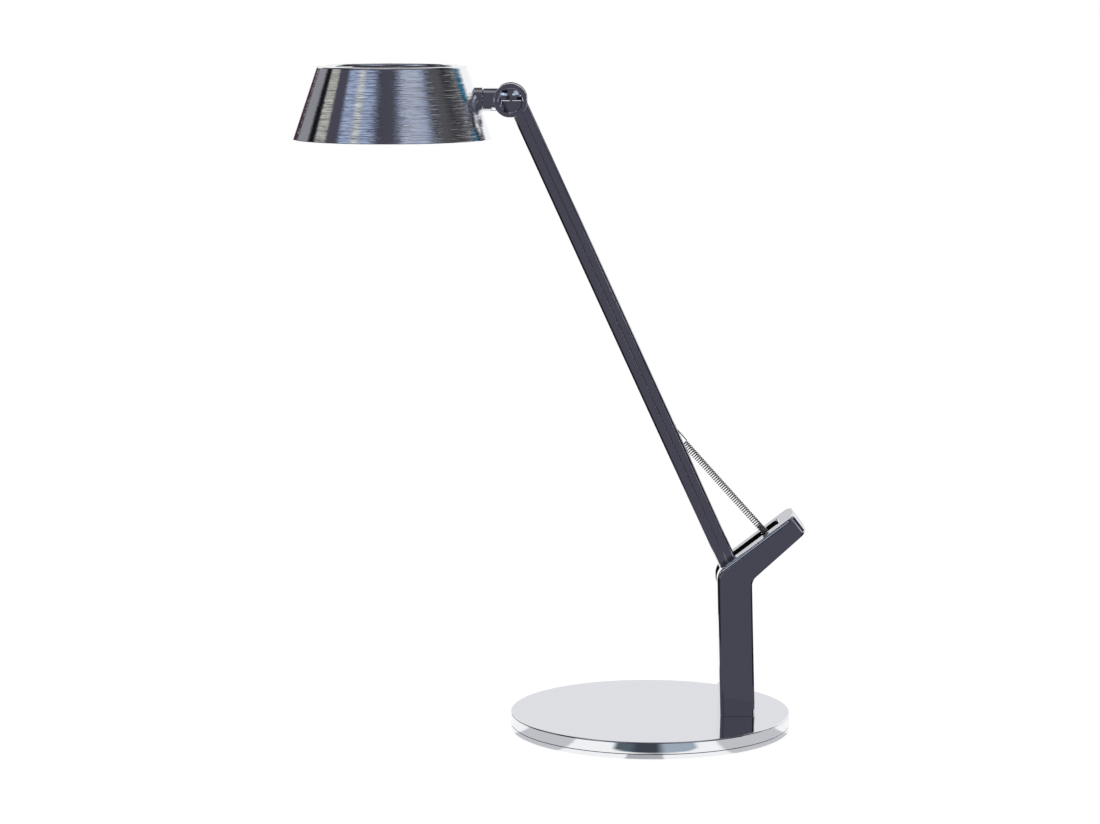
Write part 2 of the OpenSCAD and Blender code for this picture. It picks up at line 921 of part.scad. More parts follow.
// The least distance between the wire's surface and itself, turn to turn and at the hook's tip
coil_gap = min([
    for (i = [0 : len(coil_stations) - rings_per_turn - 3], j = [rings_per_turn / 2 : rings_per_turn + 2])
        norm(coil_stations[i + j][0] - coil_stations[i][0])
]) - wire_d;
tip_gap = min([for (s = straight_stations) norm(s[0] - hook_stations[0][0])]) - wire_d;
side_gap = norm(hook_stations[0][0] - hook_stations[hook_steps][0]) - wire_d;
echo(least_wire_gap = min(coil_gap, tip_gap, side_gap));

module wire_tube(stations, r, sides) {
    n = len(stations);
    points = [
        for (s = stations, k = [0 : sides - 1])
            s[0] + r * (cos(k * 360 / sides) * s[1] + sin(k * 360 / sides) * s[2])
    ];
    walls = [
        for (i = [0 : n - 2], k = [0 : sides - 1])
            let (
                a = i * sides + k,
                b = i * sides + (k + 1) % sides
            )
            each [[a, a + sides, b + sides], [a, b + sides, b]]
    ];
    first = [for (k = [1 : sides - 2]) [0, k, k + 1]];
    last_at = (n - 1) * sides;
    last = [for (k = [1 : sides - 2]) [last_at, last_at + k + 1, last_at + k]];
    polyhedron(points = points, faces = concat(walls, first, last));
}

module balance_spring() {
    color("silver")
        in_spring()
            wire_tube(wire_stations, wire_d / 2, wire_sides);
}

// The link that joins the coil's lower end to the lower pin: a plug in the coil and a long eye
module spring_link() {
    color("silver")
        in_spring()
            difference() {
                union() {
                    cylinder_between(link_plug_r, coil_to - link_turns * coil_pitch, spring_l - link_hole_r);
                    eye(link_hole_r + link_edge, link_t);
                }
                eye(link_hole_r, 2 * link_t);
            }
}

// A long eye round the lower pin, open towards the arm pivot by the link's play
module eye(r, thick) {
    for (x = [0, link_play])
        translate([x, 0, spring_l])
            cross_bar(r, -thick / 2, thick / 2);
    translate([0, -thick / 2, spring_l - r])
        cube([link_play, thick, 2 * r]);
}

module neck_yoke() {
    color("silver")
        at_hinge()
            difference() {
                union() {
                    rotate([90, 0, 0])
                        rotate_extrude()
                            disc_half(0, hub_r, hub_l, hub_edge_r);
                    long_bar(collar_r, collar_end, -hub_r / 2);
                }
                cross_bar(axle_r + pin_fit, -hub_l, hub_l);
                long_bar(tube_r + pin_fit, collar_end - over, 0);
                for (s = [-1, 1])
                    translate([0, s * (hub_l / 2 - cap_seat / 2 + over / 2), 0])
                        cross_bar(cap_r + slide_fit, -(cap_seat + over) / 2, (cap_seat + over) / 2);
                yoke_slot();
            }
}

// The room between the cheeks: round inside the web, open everywhere else
module yoke_slot() {
    far = 2 * hub_r;
    cross_bar(hub_r - web_wall, -cheek_in, cheek_in);
    side_view()
        linear_extrude(2 * cheek_in, center = true)
            polygon([
                [0, 0],
                far * [-cos(web_angle), -sin(web_angle)],
                far * [0, -1],
                far * [1, -1],
                far * [1, 1],
                far * [0, 1],
                far * [-cos(web_angle), sin(web_angle)]
            ]);
}

module hinge_axle() {
    color("dimgray")
        at_hinge()
            cross_bar(axle_r, -axle_half, axle_half);
}

module hinge_caps() {
    color("silver")
        at_hinge()
            for (s = [-1, 1])
                rotate([-90 * s, 0, 0])
                    translate([0, 0, hub_l / 2 - cap_seat])
                        difference() {
                            dome();
                            cylinder(r = axle_r + pin_fit, h = axle_out + cap_seat + slide_fit);
                        }
}

module dome() {
    cylinder(r = cap_r, h = cap_edge);
    translate([0, 0, cap_edge])
        rotate_extrude()
            intersection() {
                translate([0, cap_rise - cap_sphere_r])
                    circle(cap_sphere_r, $fn = 192);
                square([cap_r, cap_rise]);
            }
}

module hinge_washers() {
    color("dimgray")
        at_hinge()
            for (s = [-1, 1])
                translate([0, s * (arm_d / 2 + cheek_in) / 2, 0])
                    washer_across(axle_r + pin_fit, knuckle_r - 2 * room, washer_t);
}

module swivel_tube() {
    color("dimgray")
        at_hinge()
            difference() {
                long_bar(tube_r, tube_end, -hub_r + web_wall / 2);
                long_bar(tube_bore_r, tube_end - over, 0);
            }
}

module swivel_nut() {
    color("dimgray")
        at_hinge()
            difference() {
                translate([nut_from - nut_t, 0, 0])
                    rotate([0, 90, 0])
                        cylinder(r = nut_r, h = nut_t, $fn = 6);
                long_bar(tube_r + pin_fit, tube_end - over, 0);
            }
}

module swivel_washers() {
    color("silver")
        at_hinge()
            for (x = [boss_end, nut_from])
                difference() {
                    long_bar(nut_r - 2 * room, x, x + washer_t);
                    long_bar(tube_r + pin_fit, x - over, x + washer_t + over);
                }
}

// The shade's solid outline up to its top face, with the outer rim edge rounded
module shade_outline(inset, edge) {
    side_d = shade_mouth_d / 2 * cos(shade_slope) - inset;
    top = shade_h - inset;
    mouth = meet(shade_slope, side_d, 90, -over);
    low = inset > 0 ? mouth : meet(shade_slope, side_d, 90, 0);
    turn = meet(shade_slope, side_d - edge, 90, top - edge);
    polygon([
        [0, low[1]],
        low,
        turn + edge * [cos(shade_slope), sin(shade_slope)],
        turn,
        turn + [0, edge],
        [0, top]
    ]);
    translate(turn)
        circle(edge);
}

module shade_section() {
    open_r = top_open_d / 2;
    difference() {
        union() {
            difference() {
                shade_outline(0, rim_r);
                translate([0, shade_h - rim_r])
                    square([open_r + rim_r, rim_r + over]);
                square([open_r, shade_h]);
            }
            translate([open_r + rim_r, shade_h - rim_r])
                circle(rim_r);
        }
        difference() {
            shade_outline(shade_wall, rim_r - shade_wall);
            translate([open_r, shade_h - lip_h])
                square([shade_wall, lip_h]);
            translate([open_r + rim_r, shade_h - rim_r])
                circle(rim_r);
        }
    }
}

module shade_shell() {
    color("silver")
        in_head()
            difference() {
                rotate_extrude($fn = 180)
                    shade_section();
                translate([0, 0, neck_up])
                    long_bar(boss_r + pin_fit, fin_r, shade_mouth_d);
            }
}

module neck_boss() {
    color("silver")
        at_hinge()
            difference() {
                long_bar(boss_r, boss_inner, boss_end);
                long_bar(tube_r + run_fit, boss_inner - over, 0);
            }
}

module heat_sink() {
    color("dimgray")
        in_head()
            difference() {
                union() {
                    rotate_extrude()
                        ring_section(0, sink_z, sink_top);
                    cylinder_between(fin_core_r, sink_z + over, sink_top + fin_h);
                    for (i = [0 : fin_n - 1])
                        rotate([0, 0, (i + 0.5) * 360 / fin_n])
                            translate([fin_from, -fin_t / 2, sink_z + over])
                                cube([fin_r - fin_from, fin_t, sink_top + fin_h - sink_z - over]);
                }
                at_head_screws()
                    cylinder_between(screw_r + pin_fit, 0, sink_top - room);
            }
}

// Half section of a ring whose outer edge follows the inside of the shade
module ring_section(inner, from, to) {
    polygon([
        [inner, from],
        [shade_in_r(from) - room / 2, from],
        [shade_in_r(to) - room / 2, to],
        [inner, to]
    ]);
}

module led_board() {
    color("whitesmoke")
        in_head()
            difference() {
                cylinder_between(board_r, board_z, sink_z);
                at_head_screws()
                    cylinder(r = screw_r + slide_fit, h = shade_h);
            }
}

module led_chips() {
    color("khaki")
        in_head()
            for (ring = [1 : chip_rings])
                for (i = [0 : ring * chip_step - 1])
                    rotate([0, 0, i * 360 / (ring * chip_step)])
                        translate([ring * chip_pitch - chip_w / 2, -chip_w / 2, board_z - chip_h])
                            cube([chip_w, chip_w, chip_h]);
}

module reflector() {
    wide = shade_in_r(diffuser_top) - ring_w;
    color("white")
        in_head()
            rotate_extrude()
                polygon([
                    [board_r + room, sink_z],
                    [board_r + room + reflector_wall, sink_z],
                    [wide + reflector_wall, diffuser_top],
                    [wide, diffuser_top]
                ]);
}

module diffuser() {
    color("white")
        in_head()
            rotate_extrude()
                ring_section(0, ring_top, diffuser_top);
}

module retaining_ring() {
    color("silver")
        in_head()
            rotate_extrude()
                ring_section(shade_in_r(ring_top) - ring_w, ring_inset, ring_top);
}

module head_screws() {
    color("dimgray")
        in_head()
            at_head_screws() {
                cylinder_between(screw_head_r, board_z - screw_head_h, board_z);
                cylinder_between(screw_r, board_z - screw_head_h / 2, sink_top - 2 * room);
            }
}

base_cover();
ballast_disc();
base_plate();
foot_pad();
base_screws();
stem_screws();
bracket();
inlet_bush();
pivot_pin();
pivot_washers();
spring_pin_lower();
arm_front();
arm_back();
arm_foot();
arm_knuckle();
arm_screws();
spring_pin_upper();
balance_spring();
spring_link();
neck_yoke();
hinge_axle();
hinge_caps();
hinge_washers();
swivel_tube();
swivel_nut();
swivel_washers();
shade_shell();
neck_boss();
heat_sink();
led_board();
led_chips();
reflector();
diffuser();
retaining_ring();
head_screws();
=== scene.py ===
import math

import bmesh
import bpy
from mathutils import Matrix, Vector


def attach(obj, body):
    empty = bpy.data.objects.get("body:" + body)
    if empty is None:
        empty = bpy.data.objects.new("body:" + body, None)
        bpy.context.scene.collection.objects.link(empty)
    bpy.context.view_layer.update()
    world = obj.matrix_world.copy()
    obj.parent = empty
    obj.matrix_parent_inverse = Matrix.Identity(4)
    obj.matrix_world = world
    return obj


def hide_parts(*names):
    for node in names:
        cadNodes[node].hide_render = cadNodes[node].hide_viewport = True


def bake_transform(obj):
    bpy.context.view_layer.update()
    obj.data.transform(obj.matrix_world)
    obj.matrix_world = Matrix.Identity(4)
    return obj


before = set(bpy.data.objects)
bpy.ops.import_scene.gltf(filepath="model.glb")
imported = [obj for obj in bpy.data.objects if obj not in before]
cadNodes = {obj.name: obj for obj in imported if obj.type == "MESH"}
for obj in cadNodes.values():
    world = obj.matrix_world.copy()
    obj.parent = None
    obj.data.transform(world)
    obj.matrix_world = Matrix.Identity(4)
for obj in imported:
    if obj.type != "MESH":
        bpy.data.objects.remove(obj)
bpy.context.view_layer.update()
mm = 0.001
print("frame loaded:", len(cadNodes), "nodes")

# Places that several pieces share, in millimetres, as the part's source has them
places = {
    "pivot": (52.8, 0, 101.3),
    "springPin": (77.9, 0, 122.7),
    "inlet": (62.7, 0, 27.5),
    "armTilt": 24.6,
    "hinge": (-89.647, 0, 404.744),
    "shadeFoot": (-164.424, 0, 380.144),
    "springTop": (12.37, 0, 195.852),
    "springTurn": 138.146,
}


def colour(code):
    # sRGB hex to linear
    parts = [int(code[i : i + 2], 16) / 255 for i in (1, 3, 5)]
    return [c / 12.92 if c <= 0.04045 else ((c + 0.055) / 1.055) ** 2.4 for c in parts] + [1]


def add(tree, kind, inputs=None, **settings):
    # A node with its settings; an input is a value or a socket to link from
    node = tree.nodes.new(kind)
    for key, value in settings.items():
        setattr(node, key, value)
    for key, value in (inputs or {}).items():
        if isinstance(value, bpy.types.NodeSocket):
            tree.links.new(value, node.inputs[key])
        else:
            node.inputs[key].default_value = value
    return node


def newMaterial(name):
    material = bpy.data.materials.new(name)
    material.use_nodes = True
    material.node_tree.nodes.clear()
    return material, material.node_tree


def closeMaterial(tree, shader):
    out = add(tree, "ShaderNodeOutputMaterial")
    tree.links.new(shader.outputs[0], out.inputs["Surface"])


def objectPoint(tree, centre=(0, 0, 0), turn=0):
    # Object coordinates about a centre in millimetres, turned about Y
    source = add(tree, "ShaderNodeTexCoord").outputs["Object"]
    moved = add(tree, "ShaderNodeMapping", {"Vector": source, "Location": [-c * mm for c in centre]})
    if not turn:
        return moved.outputs[0]
    return add(
        tree, "ShaderNodeMapping", {"Vector": moved.outputs[0], "Rotation": (0, math.radians(turn), 0)}
    ).outputs[0]


def roundAxis(tree, point, axis):
    # The distance from an axis, the way along it, and a slow drift across the piece
    parts = add(tree, "ShaderNodeSeparateXYZ", {"Vector": point}).outputs
    along = parts[axis]
    others = [parts[n] for n in "XYZ" if n != axis]
    squares = [add(tree, "ShaderNodeMath", {0: o, 1: 2.0}, operation="POWER").outputs[0] for o in others]
    total = add(tree, "ShaderNodeMath", {0: squares[0], 1: squares[1]}, operation="ADD").outputs[0]
    return add(tree, "ShaderNodeMath", {0: total, 1: 0.5}, operation="POWER").outputs[0], along, others[0]


def chrome(name, settings, point, lines):
    # Bright chrome plate: mirror-like and nearly neutral, with the ghost of the tool marks under it
    material, tree = newMaterial(name)
    haze = add(tree, "ShaderNodeTexNoise", {"Vector": point(tree), "Scale": 38.0, "Detail": 3.0})
    rough = add(
        tree,
        "ShaderNodeMapRange",
        {
            "Value": haze.outputs["Fac"], "From Min": 0.35, "From Max": 0.7,
            "To Min": settings["roughLow"], "To Max": settings["roughHigh"],
        },
    )
    marks = add(
        tree,
        "ShaderNodeTexNoise",
        {"Vector": lines(tree), "Scale": 1.0, "Detail": settings["detail"], "Roughness": 0.6},
    )
    bump = add(
        tree,
        "ShaderNodeBump",
        {
            "Height": marks.outputs["Fac"], "Strength": settings["strength"],
            "Distance": settings["depth"] * mm,
        },
    )
    tint = colour(settings["tint"])
    if "paintedGrooveShadeTint" in settings:
        # painted shade: the piece's own attribute says where the grooves between the turns are darkened
        paintedGrooveShade = add(tree, "ShaderNodeAttribute", attribute_name="paintedGrooveShade").outputs["Fac"]
        mix = add(
            tree, "ShaderNodeMix", {"Factor": paintedGrooveShade, "A": tint, "B": colour(settings["paintedGrooveShadeTint"])},
            data_type="RGBA"
        )
        tint = mix.outputs["Result"]
    shader = add(
        tree,
        "ShaderNodeBsdfPrincipled",
        {"Base Color": tint, "Metallic": 1.0, "Roughness": rough.outputs[0], "Normal": bump.outputs[0]},
    )
    closeMaterial(tree, shader)
    return material


def turnedLines(centre, axis, pitch, drift=25.0):
    # Fine rings round an axis, as a lathe or a spinning chuck leaves them; the pitch is in millimetres
    def build(tree):
        far, along, across = roundAxis(tree, objectPoint(tree, centre), axis)
        count = 1 / (pitch * mm)
        scaled = [
            add(tree, "ShaderNodeMath", {0: s, 1: k}, operation="MULTIPLY").outputs[0]
            for s, k in ((far, count), (along, count), (across, drift))
        ]
        return add(tree, "ShaderNodeCombineXYZ", dict(enumerate(scaled))).outputs[0]

    return build


def drawnLines(centre, turn, across, along):
    # Long faint marks along a drawn tube; both sizes are in millimetres
    def build(tree):
        return add(
            tree,
            "ShaderNodeMapping",
            {
                "Vector": objectPoint(tree, centre, turn),
                "Scale": (1 / (across * mm), 1 / (across * mm), 1 / (along * mm)),
            },
        ).outputs[0]

    return build


def plainPoint(centre=(0, 0, 0)):
    return lambda tree: objectPoint(tree, centre)


chromeTint = "#EFF0F3"  # bright chrome over nickel: a cold white, a little under silver

# Chrome on spun steel, polished: rings of the spinning tool, drawn about ten times coarser than they are
chromeSpunSettings = {
    "tint": chromeTint, "roughLow": 0.02, "roughHigh": 0.05, "detail": 3.0, "strength": 0.6, "depth": 0.03
}
chromeSpunBase = chrome(
    "chromeOnSpunSteel", chromeSpunSettings, plainPoint(), turnedLines((0, 0, 0), "Z", 1.1)
)
shadeSettings = dict(chromeSpunSettings, depth=0.13, strength=1.0, roughHigh=0.06)
chromeSpunShade = chrome(
    "chromeOnSpunShade", shadeSettings, plainPoint(places["shadeFoot"]),
    turnedLines(places["shadeFoot"], "Z", 0.8, 26.0)
)

# Chrome on a zinc casting, polished: flat faces with the faintest orange peel, about 9 mm across
chromeCastSettings = {
    "tint": chromeTint, "roughLow": 0.015, "roughHigh": 0.04, "detail": 2.0, "strength": 0.25,
    "depth": 0.02,
}
chromeCast = chrome(
    "chromeOnZincCasting", chromeCastSettings, plainPoint(), drawnLines(places["pivot"], 0, 9, 9)
)

# The slot's inside: painted shade, a darker and duller chrome for the deep recess; the plate is thin there
# and lies on the casting as it came from the die
paintedShadeSlotSettings = {
    "tint": "#6C6D72", "roughLow": 0.2, "roughHigh": 0.35, "detail": 4.0, "strength": 0.4, "depth": 0.02
}
paintedShadeSlotChrome = chrome("chromeWithPaintedShadeInSlot", paintedShadeSlotSettings, plainPoint(), drawnLines(places["pivot"], 0, 1.2, 1.2))

# Chrome on drawn steel: draw marks a millimetre apart and a hand long
chromeSheetSettings = {
    "tint": chromeTint, "roughLow": 0.02, "roughHigh": 0.05, "detail": 3.0, "strength": 0.25,
    "depth": 0.008,
}
chromeSheet = chrome(
    "chromeOnDrawnSteel",
    chromeSheetSettings,
    plainPoint(),
    drawnLines(places["pivot"], places["armTilt"], 1.0, 90),
)

# Chrome on turned brass: rings about the hinge axle or the neck's axis
chromeTurnedSettings = {
    "tint": chromeTint, "roughLow": 0.015, "roughHigh": 0.04, "detail": 3.0, "strength": 0.25,
    "depth": 0.006,
}
chromeHinge = chrome(
    "chromeOnTurnedHinge", chromeTurnedSettings, plainPoint(), turnedLines(places["hinge"], "Y", 0.5)
)
chromeNeck = chrome(
    "chromeOnTurnedNeck", chromeTurnedSettings, plainPoint(), turnedLines(places["hinge"], "X", 0.5)
)

# Satin chrome on the ring under the shade: the same plate over a blasted surface
satinSettings = {
    "tint": "#D2D3D6", "roughLow": 0.2, "roughHigh": 0.3, "detail": 4.0, "strength": 0.4, "depth": 0.01
}
satinChrome = chrome(
    "satinChromeRing", satinSettings, plainPoint(), turnedLines(places["shadeFoot"], "Z", 0.6)
)

# Bright zinc plate on rolled steel: bluish, soft gloss, faint rolling marks
zincSettings = {
    "tint": "#B9BDC4", "roughLow": 0.16, "roughHigh": 0.3, "detail": 4.0, "strength": 0.3, "depth": 0.01
}
zincPlate = chrome("zincPlatedSteel", zincSettings, plainPoint(), turnedLines((0, 0, 0), "Z", 0.9))

# Bright steel of turned pins and screws, lightly oiled
steelSettings = {
    "tint": "#A8AAAD", "roughLow": 0.18, "roughHigh": 0.32, "detail": 3.0, "strength": 0.3, "depth": 0.006
}
brightSteel = chrome("brightTurnedSteel", steelSettings, plainPoint(), drawnLines((0, 0, 0), 0, 0.4, 0.4))

# Nickel on spring wire, a little warm; the grooves between the turns are darkened with a near-black tint,
# painted shade
wireSettings = {
    "tint": "#F6F5F1", "paintedGrooveShadeTint": "#18181B", "roughLow": 0.1, "roughHigh": 0.18, "detail": 2.0,
    "strength": 0.2, "depth": 0.004,
}
springWire = chrome(
    "nickelPlatedSpringWire", wireSettings, plainPoint(), drawnLines((0, 0, 0), 0, 0.25, 0.25)
)

# Tumbled zinc casting: dull grey with a fine grain
castSettings = {
    "tint": "#8D8F93", "roughLow": 0.38, "roughHigh": 0.55, "detail": 5.0, "strength": 0.5, "depth": 0.03
}
rawZinc = chrome("tumbledZincCasting", castSettings, plainPoint(), drawnLines((0, 0, 0), 0, 0.6, 0.6))


def moulded(name, settings, scale, centre=(0, 0, 0)):
    # A non-metal with a fine surface grain and a little variation in colour
    material, tree = newMaterial(name)
    point = objectPoint(tree, centre)
    grain = add(
        tree,
        "ShaderNodeTexNoise",
        {"Vector": point, "Scale": 1 / (scale * mm), "Detail": 4.0, "Roughness": 0.6},
    )
    cloud = add(tree, "ShaderNodeTexNoise", {"Vector": point, "Scale": 45.0, "Detail": 2.0})
    tint = add(
        tree,
        "ShaderNodeMix",
        {"Factor": cloud.outputs["Fac"], "A": colour(settings["dark"]), "B": colour(settings["light"])},
        data_type="RGBA",
    )
    rough = add(
        tree,
        "ShaderNodeMapRange",
        {
            "Value": grain.outputs["Fac"], "From Min": 0.3, "From Max": 0.7,
            "To Min": settings["roughLow"], "To Max": settings["roughHigh"],
        },
    )
    bump = add(
        tree,
        "ShaderNodeBump",
        {
            "Height": grain.outputs["Fac"], "Strength": settings["strength"],
            "Distance": settings["depth"] * mm,
        },
    )
    shader = add(
        tree,
        "ShaderNodeBsdfPrincipled",
        {
            "Base Color": tint.outputs["Result"], "Roughness": rough.outputs[0],
            "Normal": bump.outputs[0], "IOR": settings["ior"],
        },
    )
    shader.inputs["Metallic"].default_value = settings.get("metallic", 0.0)
    closeMaterial(tree, shader)
    return material


# Closed-cell foam rubber: matt black with open pores of a third of a millimetre
footRubber = moulded(
    "foamRubber",
    {
        "dark": "#141414", "light": "#1F1F20", "roughLow": 0.8, "roughHigh": 0.95, "strength": 0.6,
        "depth": 0.08, "ior": 1.5,
    },
    0.35
)
# Nylon, moulded: black with a satin skin
blackNylon = moulded(
    "mouldedNylon",
    {
        "dark": "#101011", "light": "#18181A", "roughLow": 0.35, "roughHigh": 0.5, "strength": 0.3,
        "depth": 0.01, "ior": 1.53,
    },
    0.3
)
# Acetal washers: black and waxy
blackAcetal = moulded(
    "acetalWasher",
    {
        "dark": "#161617", "light": "#1E1E20", "roughLow": 0.3, "roughHigh": 0.42, "strength": 0.2,
        "depth": 0.006, "ior": 1.48,
    },
    0.3
)
# Grey cast iron, faced: dark, dull, with open grain
castIron = moulded(
    "greyCastIron",
    {
        "dark": "#3A3A3C", "light": "#4C4C4F", "roughLow": 0.5, "roughHigh": 0.7, "strength": 0.6,
        "depth": 0.06, "ior": 1.5, "metallic": 1.0,
    },
    0.8,
)
# Aluminium, black anodised: a dark, dry metal with a fine etched grain
blackAnodised = moulded(
    "anodisedAluminium",
    {
        "dark": "#1E1E21", "light": "#29292D", "roughLow": 0.38, "roughHigh": 0.52, "strength": 0.3,
        "depth": 0.008, "ior": 1.5, "metallic": 0.6,
    },
    0.25,
)
# White solder resist on the LED board: glossy and slightly wavy
solderResist = moulded(
    "whiteSolderResist",
    {
        "dark": "#E0E0DB", "light": "#E8E8E4", "roughLow": 0.25, "roughHigh": 0.35, "strength": 0.2,
        "depth": 0.005, "ior": 1.5,
    },
    0.5
)
# Phosphor in clear resin: yellow and glossy
ledResin = moulded(
    "phosphorResin",
    {
        "dark": "#D8B94A", "light": "#E6CC62", "roughLow": 0.1, "roughHigh": 0.2, "strength": 0.2,
        "depth": 0.01, "ior": 1.5,
    },
    0.4
)
# White polycarbonate reflector: matt and very pale
whiteReflector = moulded(
    "whitePolycarbonate",
    {
        "dark": "#DCDCDA", "light": "#E4E4E2", "roughLow": 0.45, "roughHigh": 0.6, "strength": 0.2,
        "depth": 0.005, "ior": 1.58,
    },
    0.3
)


def opalMaterial(name, settings):
    # Frosted opal acrylic: light sinks in and comes back softly, under a sanded face
    material, tree = newMaterial(name)
    frost = add(
        tree,
        "ShaderNodeTexNoise",
        {"Vector": objectPoint(tree), "Scale": 1 / (settings["frost"] * mm), "Detail": 3.0},
    )
    rough = add(
        tree,
        "ShaderNodeMapRange",
        {"Value": frost.outputs["Fac"], "From Min": 0.3, "From Max": 0.7, "To Min": 0.42, "To Max": 0.58},
    )
    bump = add(
        tree,
        "ShaderNodeBump",
        {"Height": frost.outputs["Fac"], "Strength": 0.3, "Distance": settings["depth"] * mm},
    )
    shader = add(
        tree,
        "ShaderNodeBsdfPrincipled",
        {
            "Base Color": colour(settings["tint"]),
            "Roughness": rough.outputs[0],
            "Normal": bump.outputs[0],
            "IOR": 1.49,
            "Subsurface Weight": 0.35,
            "Subsurface Radius": (0.004, 0.004, 0.004),
        },
    )
    closeMaterial(tree, shader)
    return material


opalAcrylic = opalMaterial("frostedAcrylic", {"tint": "#E4E6E6", "frost": 0.4, "depth": 0.01})
print("materials made")

nodeFinishes = {
    "ballast_disc": castIron,
    "foot_pad": footRubber,
    "base_screws": brightSteel,
    "stem_screws": brightSteel,
    "pivot_washers": blackAcetal,
    "spring_pin_upper": brightSteel,
    "hinge_axle": brightSteel,
    "hinge_washers": blackAcetal,
    "swivel_tube": brightSteel,
    "swivel_nut": zincPlate,
    "swivel_washers": brightSteel,
    "heat_sink": blackAnodised,
    "led_board": solderResist,
    "led_chips": ledResin,
    "reflector": whiteReflector,
    "head_screws": brightSteel,
}
for nodeName, finish in nodeFinishes.items():
    cadObject = cadNodes[nodeName]
    if not cadObject.data.materials:
        cadObject.data.materials.append(None)
    for materialSlot in cadObject.material_slots:
        materialSlot.material = finish


def settle(bm, place=Matrix.Identity(4)):
    # Merges doubles, turns the faces outwards and sets the shape in place
    bmesh.ops.remove_doubles(bm, verts=bm.verts[:], dist=1e-7)
    bmesh.ops.dissolve_degenerate(bm, edges=bm.edges[:], dist=1e-8)
    bmesh.ops.recalc_face_normals(bm, faces=bm.faces[:])
    bmesh.ops.transform(bm, matrix=place, verts=bm.verts[:])


def piece(name, bm, material, body, nodes, sharp=32):
    # A finished piece, smooth but for its real corners, that stands for its CAD nodes
    for face in bm.faces:
        face.smooth = True
    for edge in bm.edges:
        edge.smooth = len(edge.link_faces) != 2 or edge.calc_face_angle(0) < math.radians(sharp)
    mesh = bpy.data.meshes.new(name)
    bm.to_mesh(mesh)
    bm.free()
    made = bpy.data.objects.new(name, mesh)
    bpy.context.scene.collection.objects.link(made)
    mesh.materials.append(material)
    weighted = made.modifiers.new("weightedNormals", "WEIGHTED_NORMAL")
    weighted.keep_sharp = True
    weighted.weight = 90
    if body:
        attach(made, body)
    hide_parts(*nodes)
    return made


def section(bm, corners, plane):
    # A closed outline of a few corners, each turned with its own radius; plane places two numbers in space
    verts = [bm.verts.new(plane(a * mm, b * mm)) for a, b, *_ in corners]
    face = bm.faces.new(verts)
    for i, (vert, corner) in enumerate(zip(verts, corners)):
        if len(corner) < 3 or not corner[2]:
            continue
        before, here, after = (Vector(plane(*corners[(i + k) % len(corners)][:2])) for k in (-1, 0, 1))
        turn = (here - before).angle(after - here)
        steps = max(3, round(math.degrees(turn) / 8))
        bmesh.ops.bevel(
            bm, geom=[vert], offset=corner[2] * mm * math.tan(turn / 2), segments=steps, profile=0.5,
            affect="VERTICES", material=-1
        )
    return face


def roundEdges(bm, edges, radius, segments):
    bmesh.ops.bevel(
        bm, geom=edges, offset=radius * mm, segments=segments, profile=0.5, affect="EDGES", material=-1
    )


def turnedShape(corners, steps=160):
    # A section of radius and height, turned full circle about Z
    bm = bmesh.new()
    section(bm, corners, lambda a, b: (a, 0, b))
    bmesh.ops.delete(bm, geom=bm.faces[:], context="FACES_ONLY")
    onAxis = [e for e in bm.edges if all(abs(v.co.x) < 1e-9 for v in e.verts)]
    bmesh.ops.delete(bm, geom=onAxis, context="EDGES")
    bmesh.ops.spin(
        bm, geom=bm.verts[:] + bm.edges[:], cent=(0, 0, 0), axis=(0, 0, 1), dvec=(0, 0, 0),
        angle=math.tau, steps=steps, use_merge=True
    )
    settle(bm)
    return bm


def towards(axis, centre):
    # Turns Z to the axis named and moves it to a centre in millimetres
    turns = {
        "+Y": Matrix.Rotation(math.radians(-90), 4, "X"),
        "-Y": Matrix.Rotation(math.radians(90), 4, "X"),
        "-X": Matrix.Rotation(math.radians(-90), 4, "Y"),
    }
    return Matrix.Translation(Vector(centre) * mm) @ turns[axis]


def bar(corners, length, place):
    # A section in X and Y pushed along Z
    bm = bmesh.new()
    section(bm, corners, lambda a, b: (a, b, 0))
    pushed = bmesh.ops.extrude_face_region(bm, geom=bm.faces[:])["geom"]
    bmesh.ops.translate(
        bm, vec=(0, 0, length * mm), verts=[g for g in pushed if isinstance(g, bmesh.types.BMVert)]
    )
    settle(bm, place)
    return bm


def roundBar(radius, length, place, steps=96):
    bm = bmesh.new()
    bmesh.ops.create_cone(
        bm, cap_ends=True, segments=steps, radius1=radius * mm, radius2=radius * mm, depth=length * mm,
        matrix=Matrix.Translation((0, 0, length * mm / 2)),
    )
    settle(bm, place)
    return bm


def combine(bm, tools, operation):
    # Adds or cuts the tools with Boolean modifiers, then takes the finished mesh
    made = []
    for shape in [bm] + tools:
        mesh = bpy.data.meshes.new("combine")
        shape.to_mesh(mesh)
        shape.free()
        made.append(bpy.data.objects.new("combine", mesh))
        bpy.context.scene.collection.objects.link(made[-1])
    for tool in made[1:]:
        step = made[0].modifiers.new("step", "BOOLEAN")
        step.operation = operation
        step.solver = "EXACT"
        step.object = tool
    result = bmesh.new()
    result.from_object(made[0], bpy.context.evaluated_depsgraph_get())
    for used in made:
        mesh = used.data
        bpy.data.objects.remove(used)
        bpy.data.meshes.remove(mesh)
    bmesh.ops.remove_doubles(result, verts=result.verts[:], dist=1e-7)
    return result


def smoothCopy(node, material, body, sharp=32):
    # A small CAD part whose shape is right, merged so that its round faces shade smoothly
    bm = bmesh.new()
    bm.from_mesh(cadNodes[node].data)
    bmesh.ops.remove_doubles(bm, verts=bm.verts[:], dist=1e-6)
    return piece(node + "_smooth", bm, material, body, [node], sharp)


# The base: a shallow spun cover over a steel plate
baseShape = {
    "radius": 90, "seam": 3.9, "top": 11.25, "wall": 1, "edge": 0.8,
    "plateStep": 85.1, "plateFoot": 1.0, "plateUnder": 0.6, "plateTop": 3.6,
}


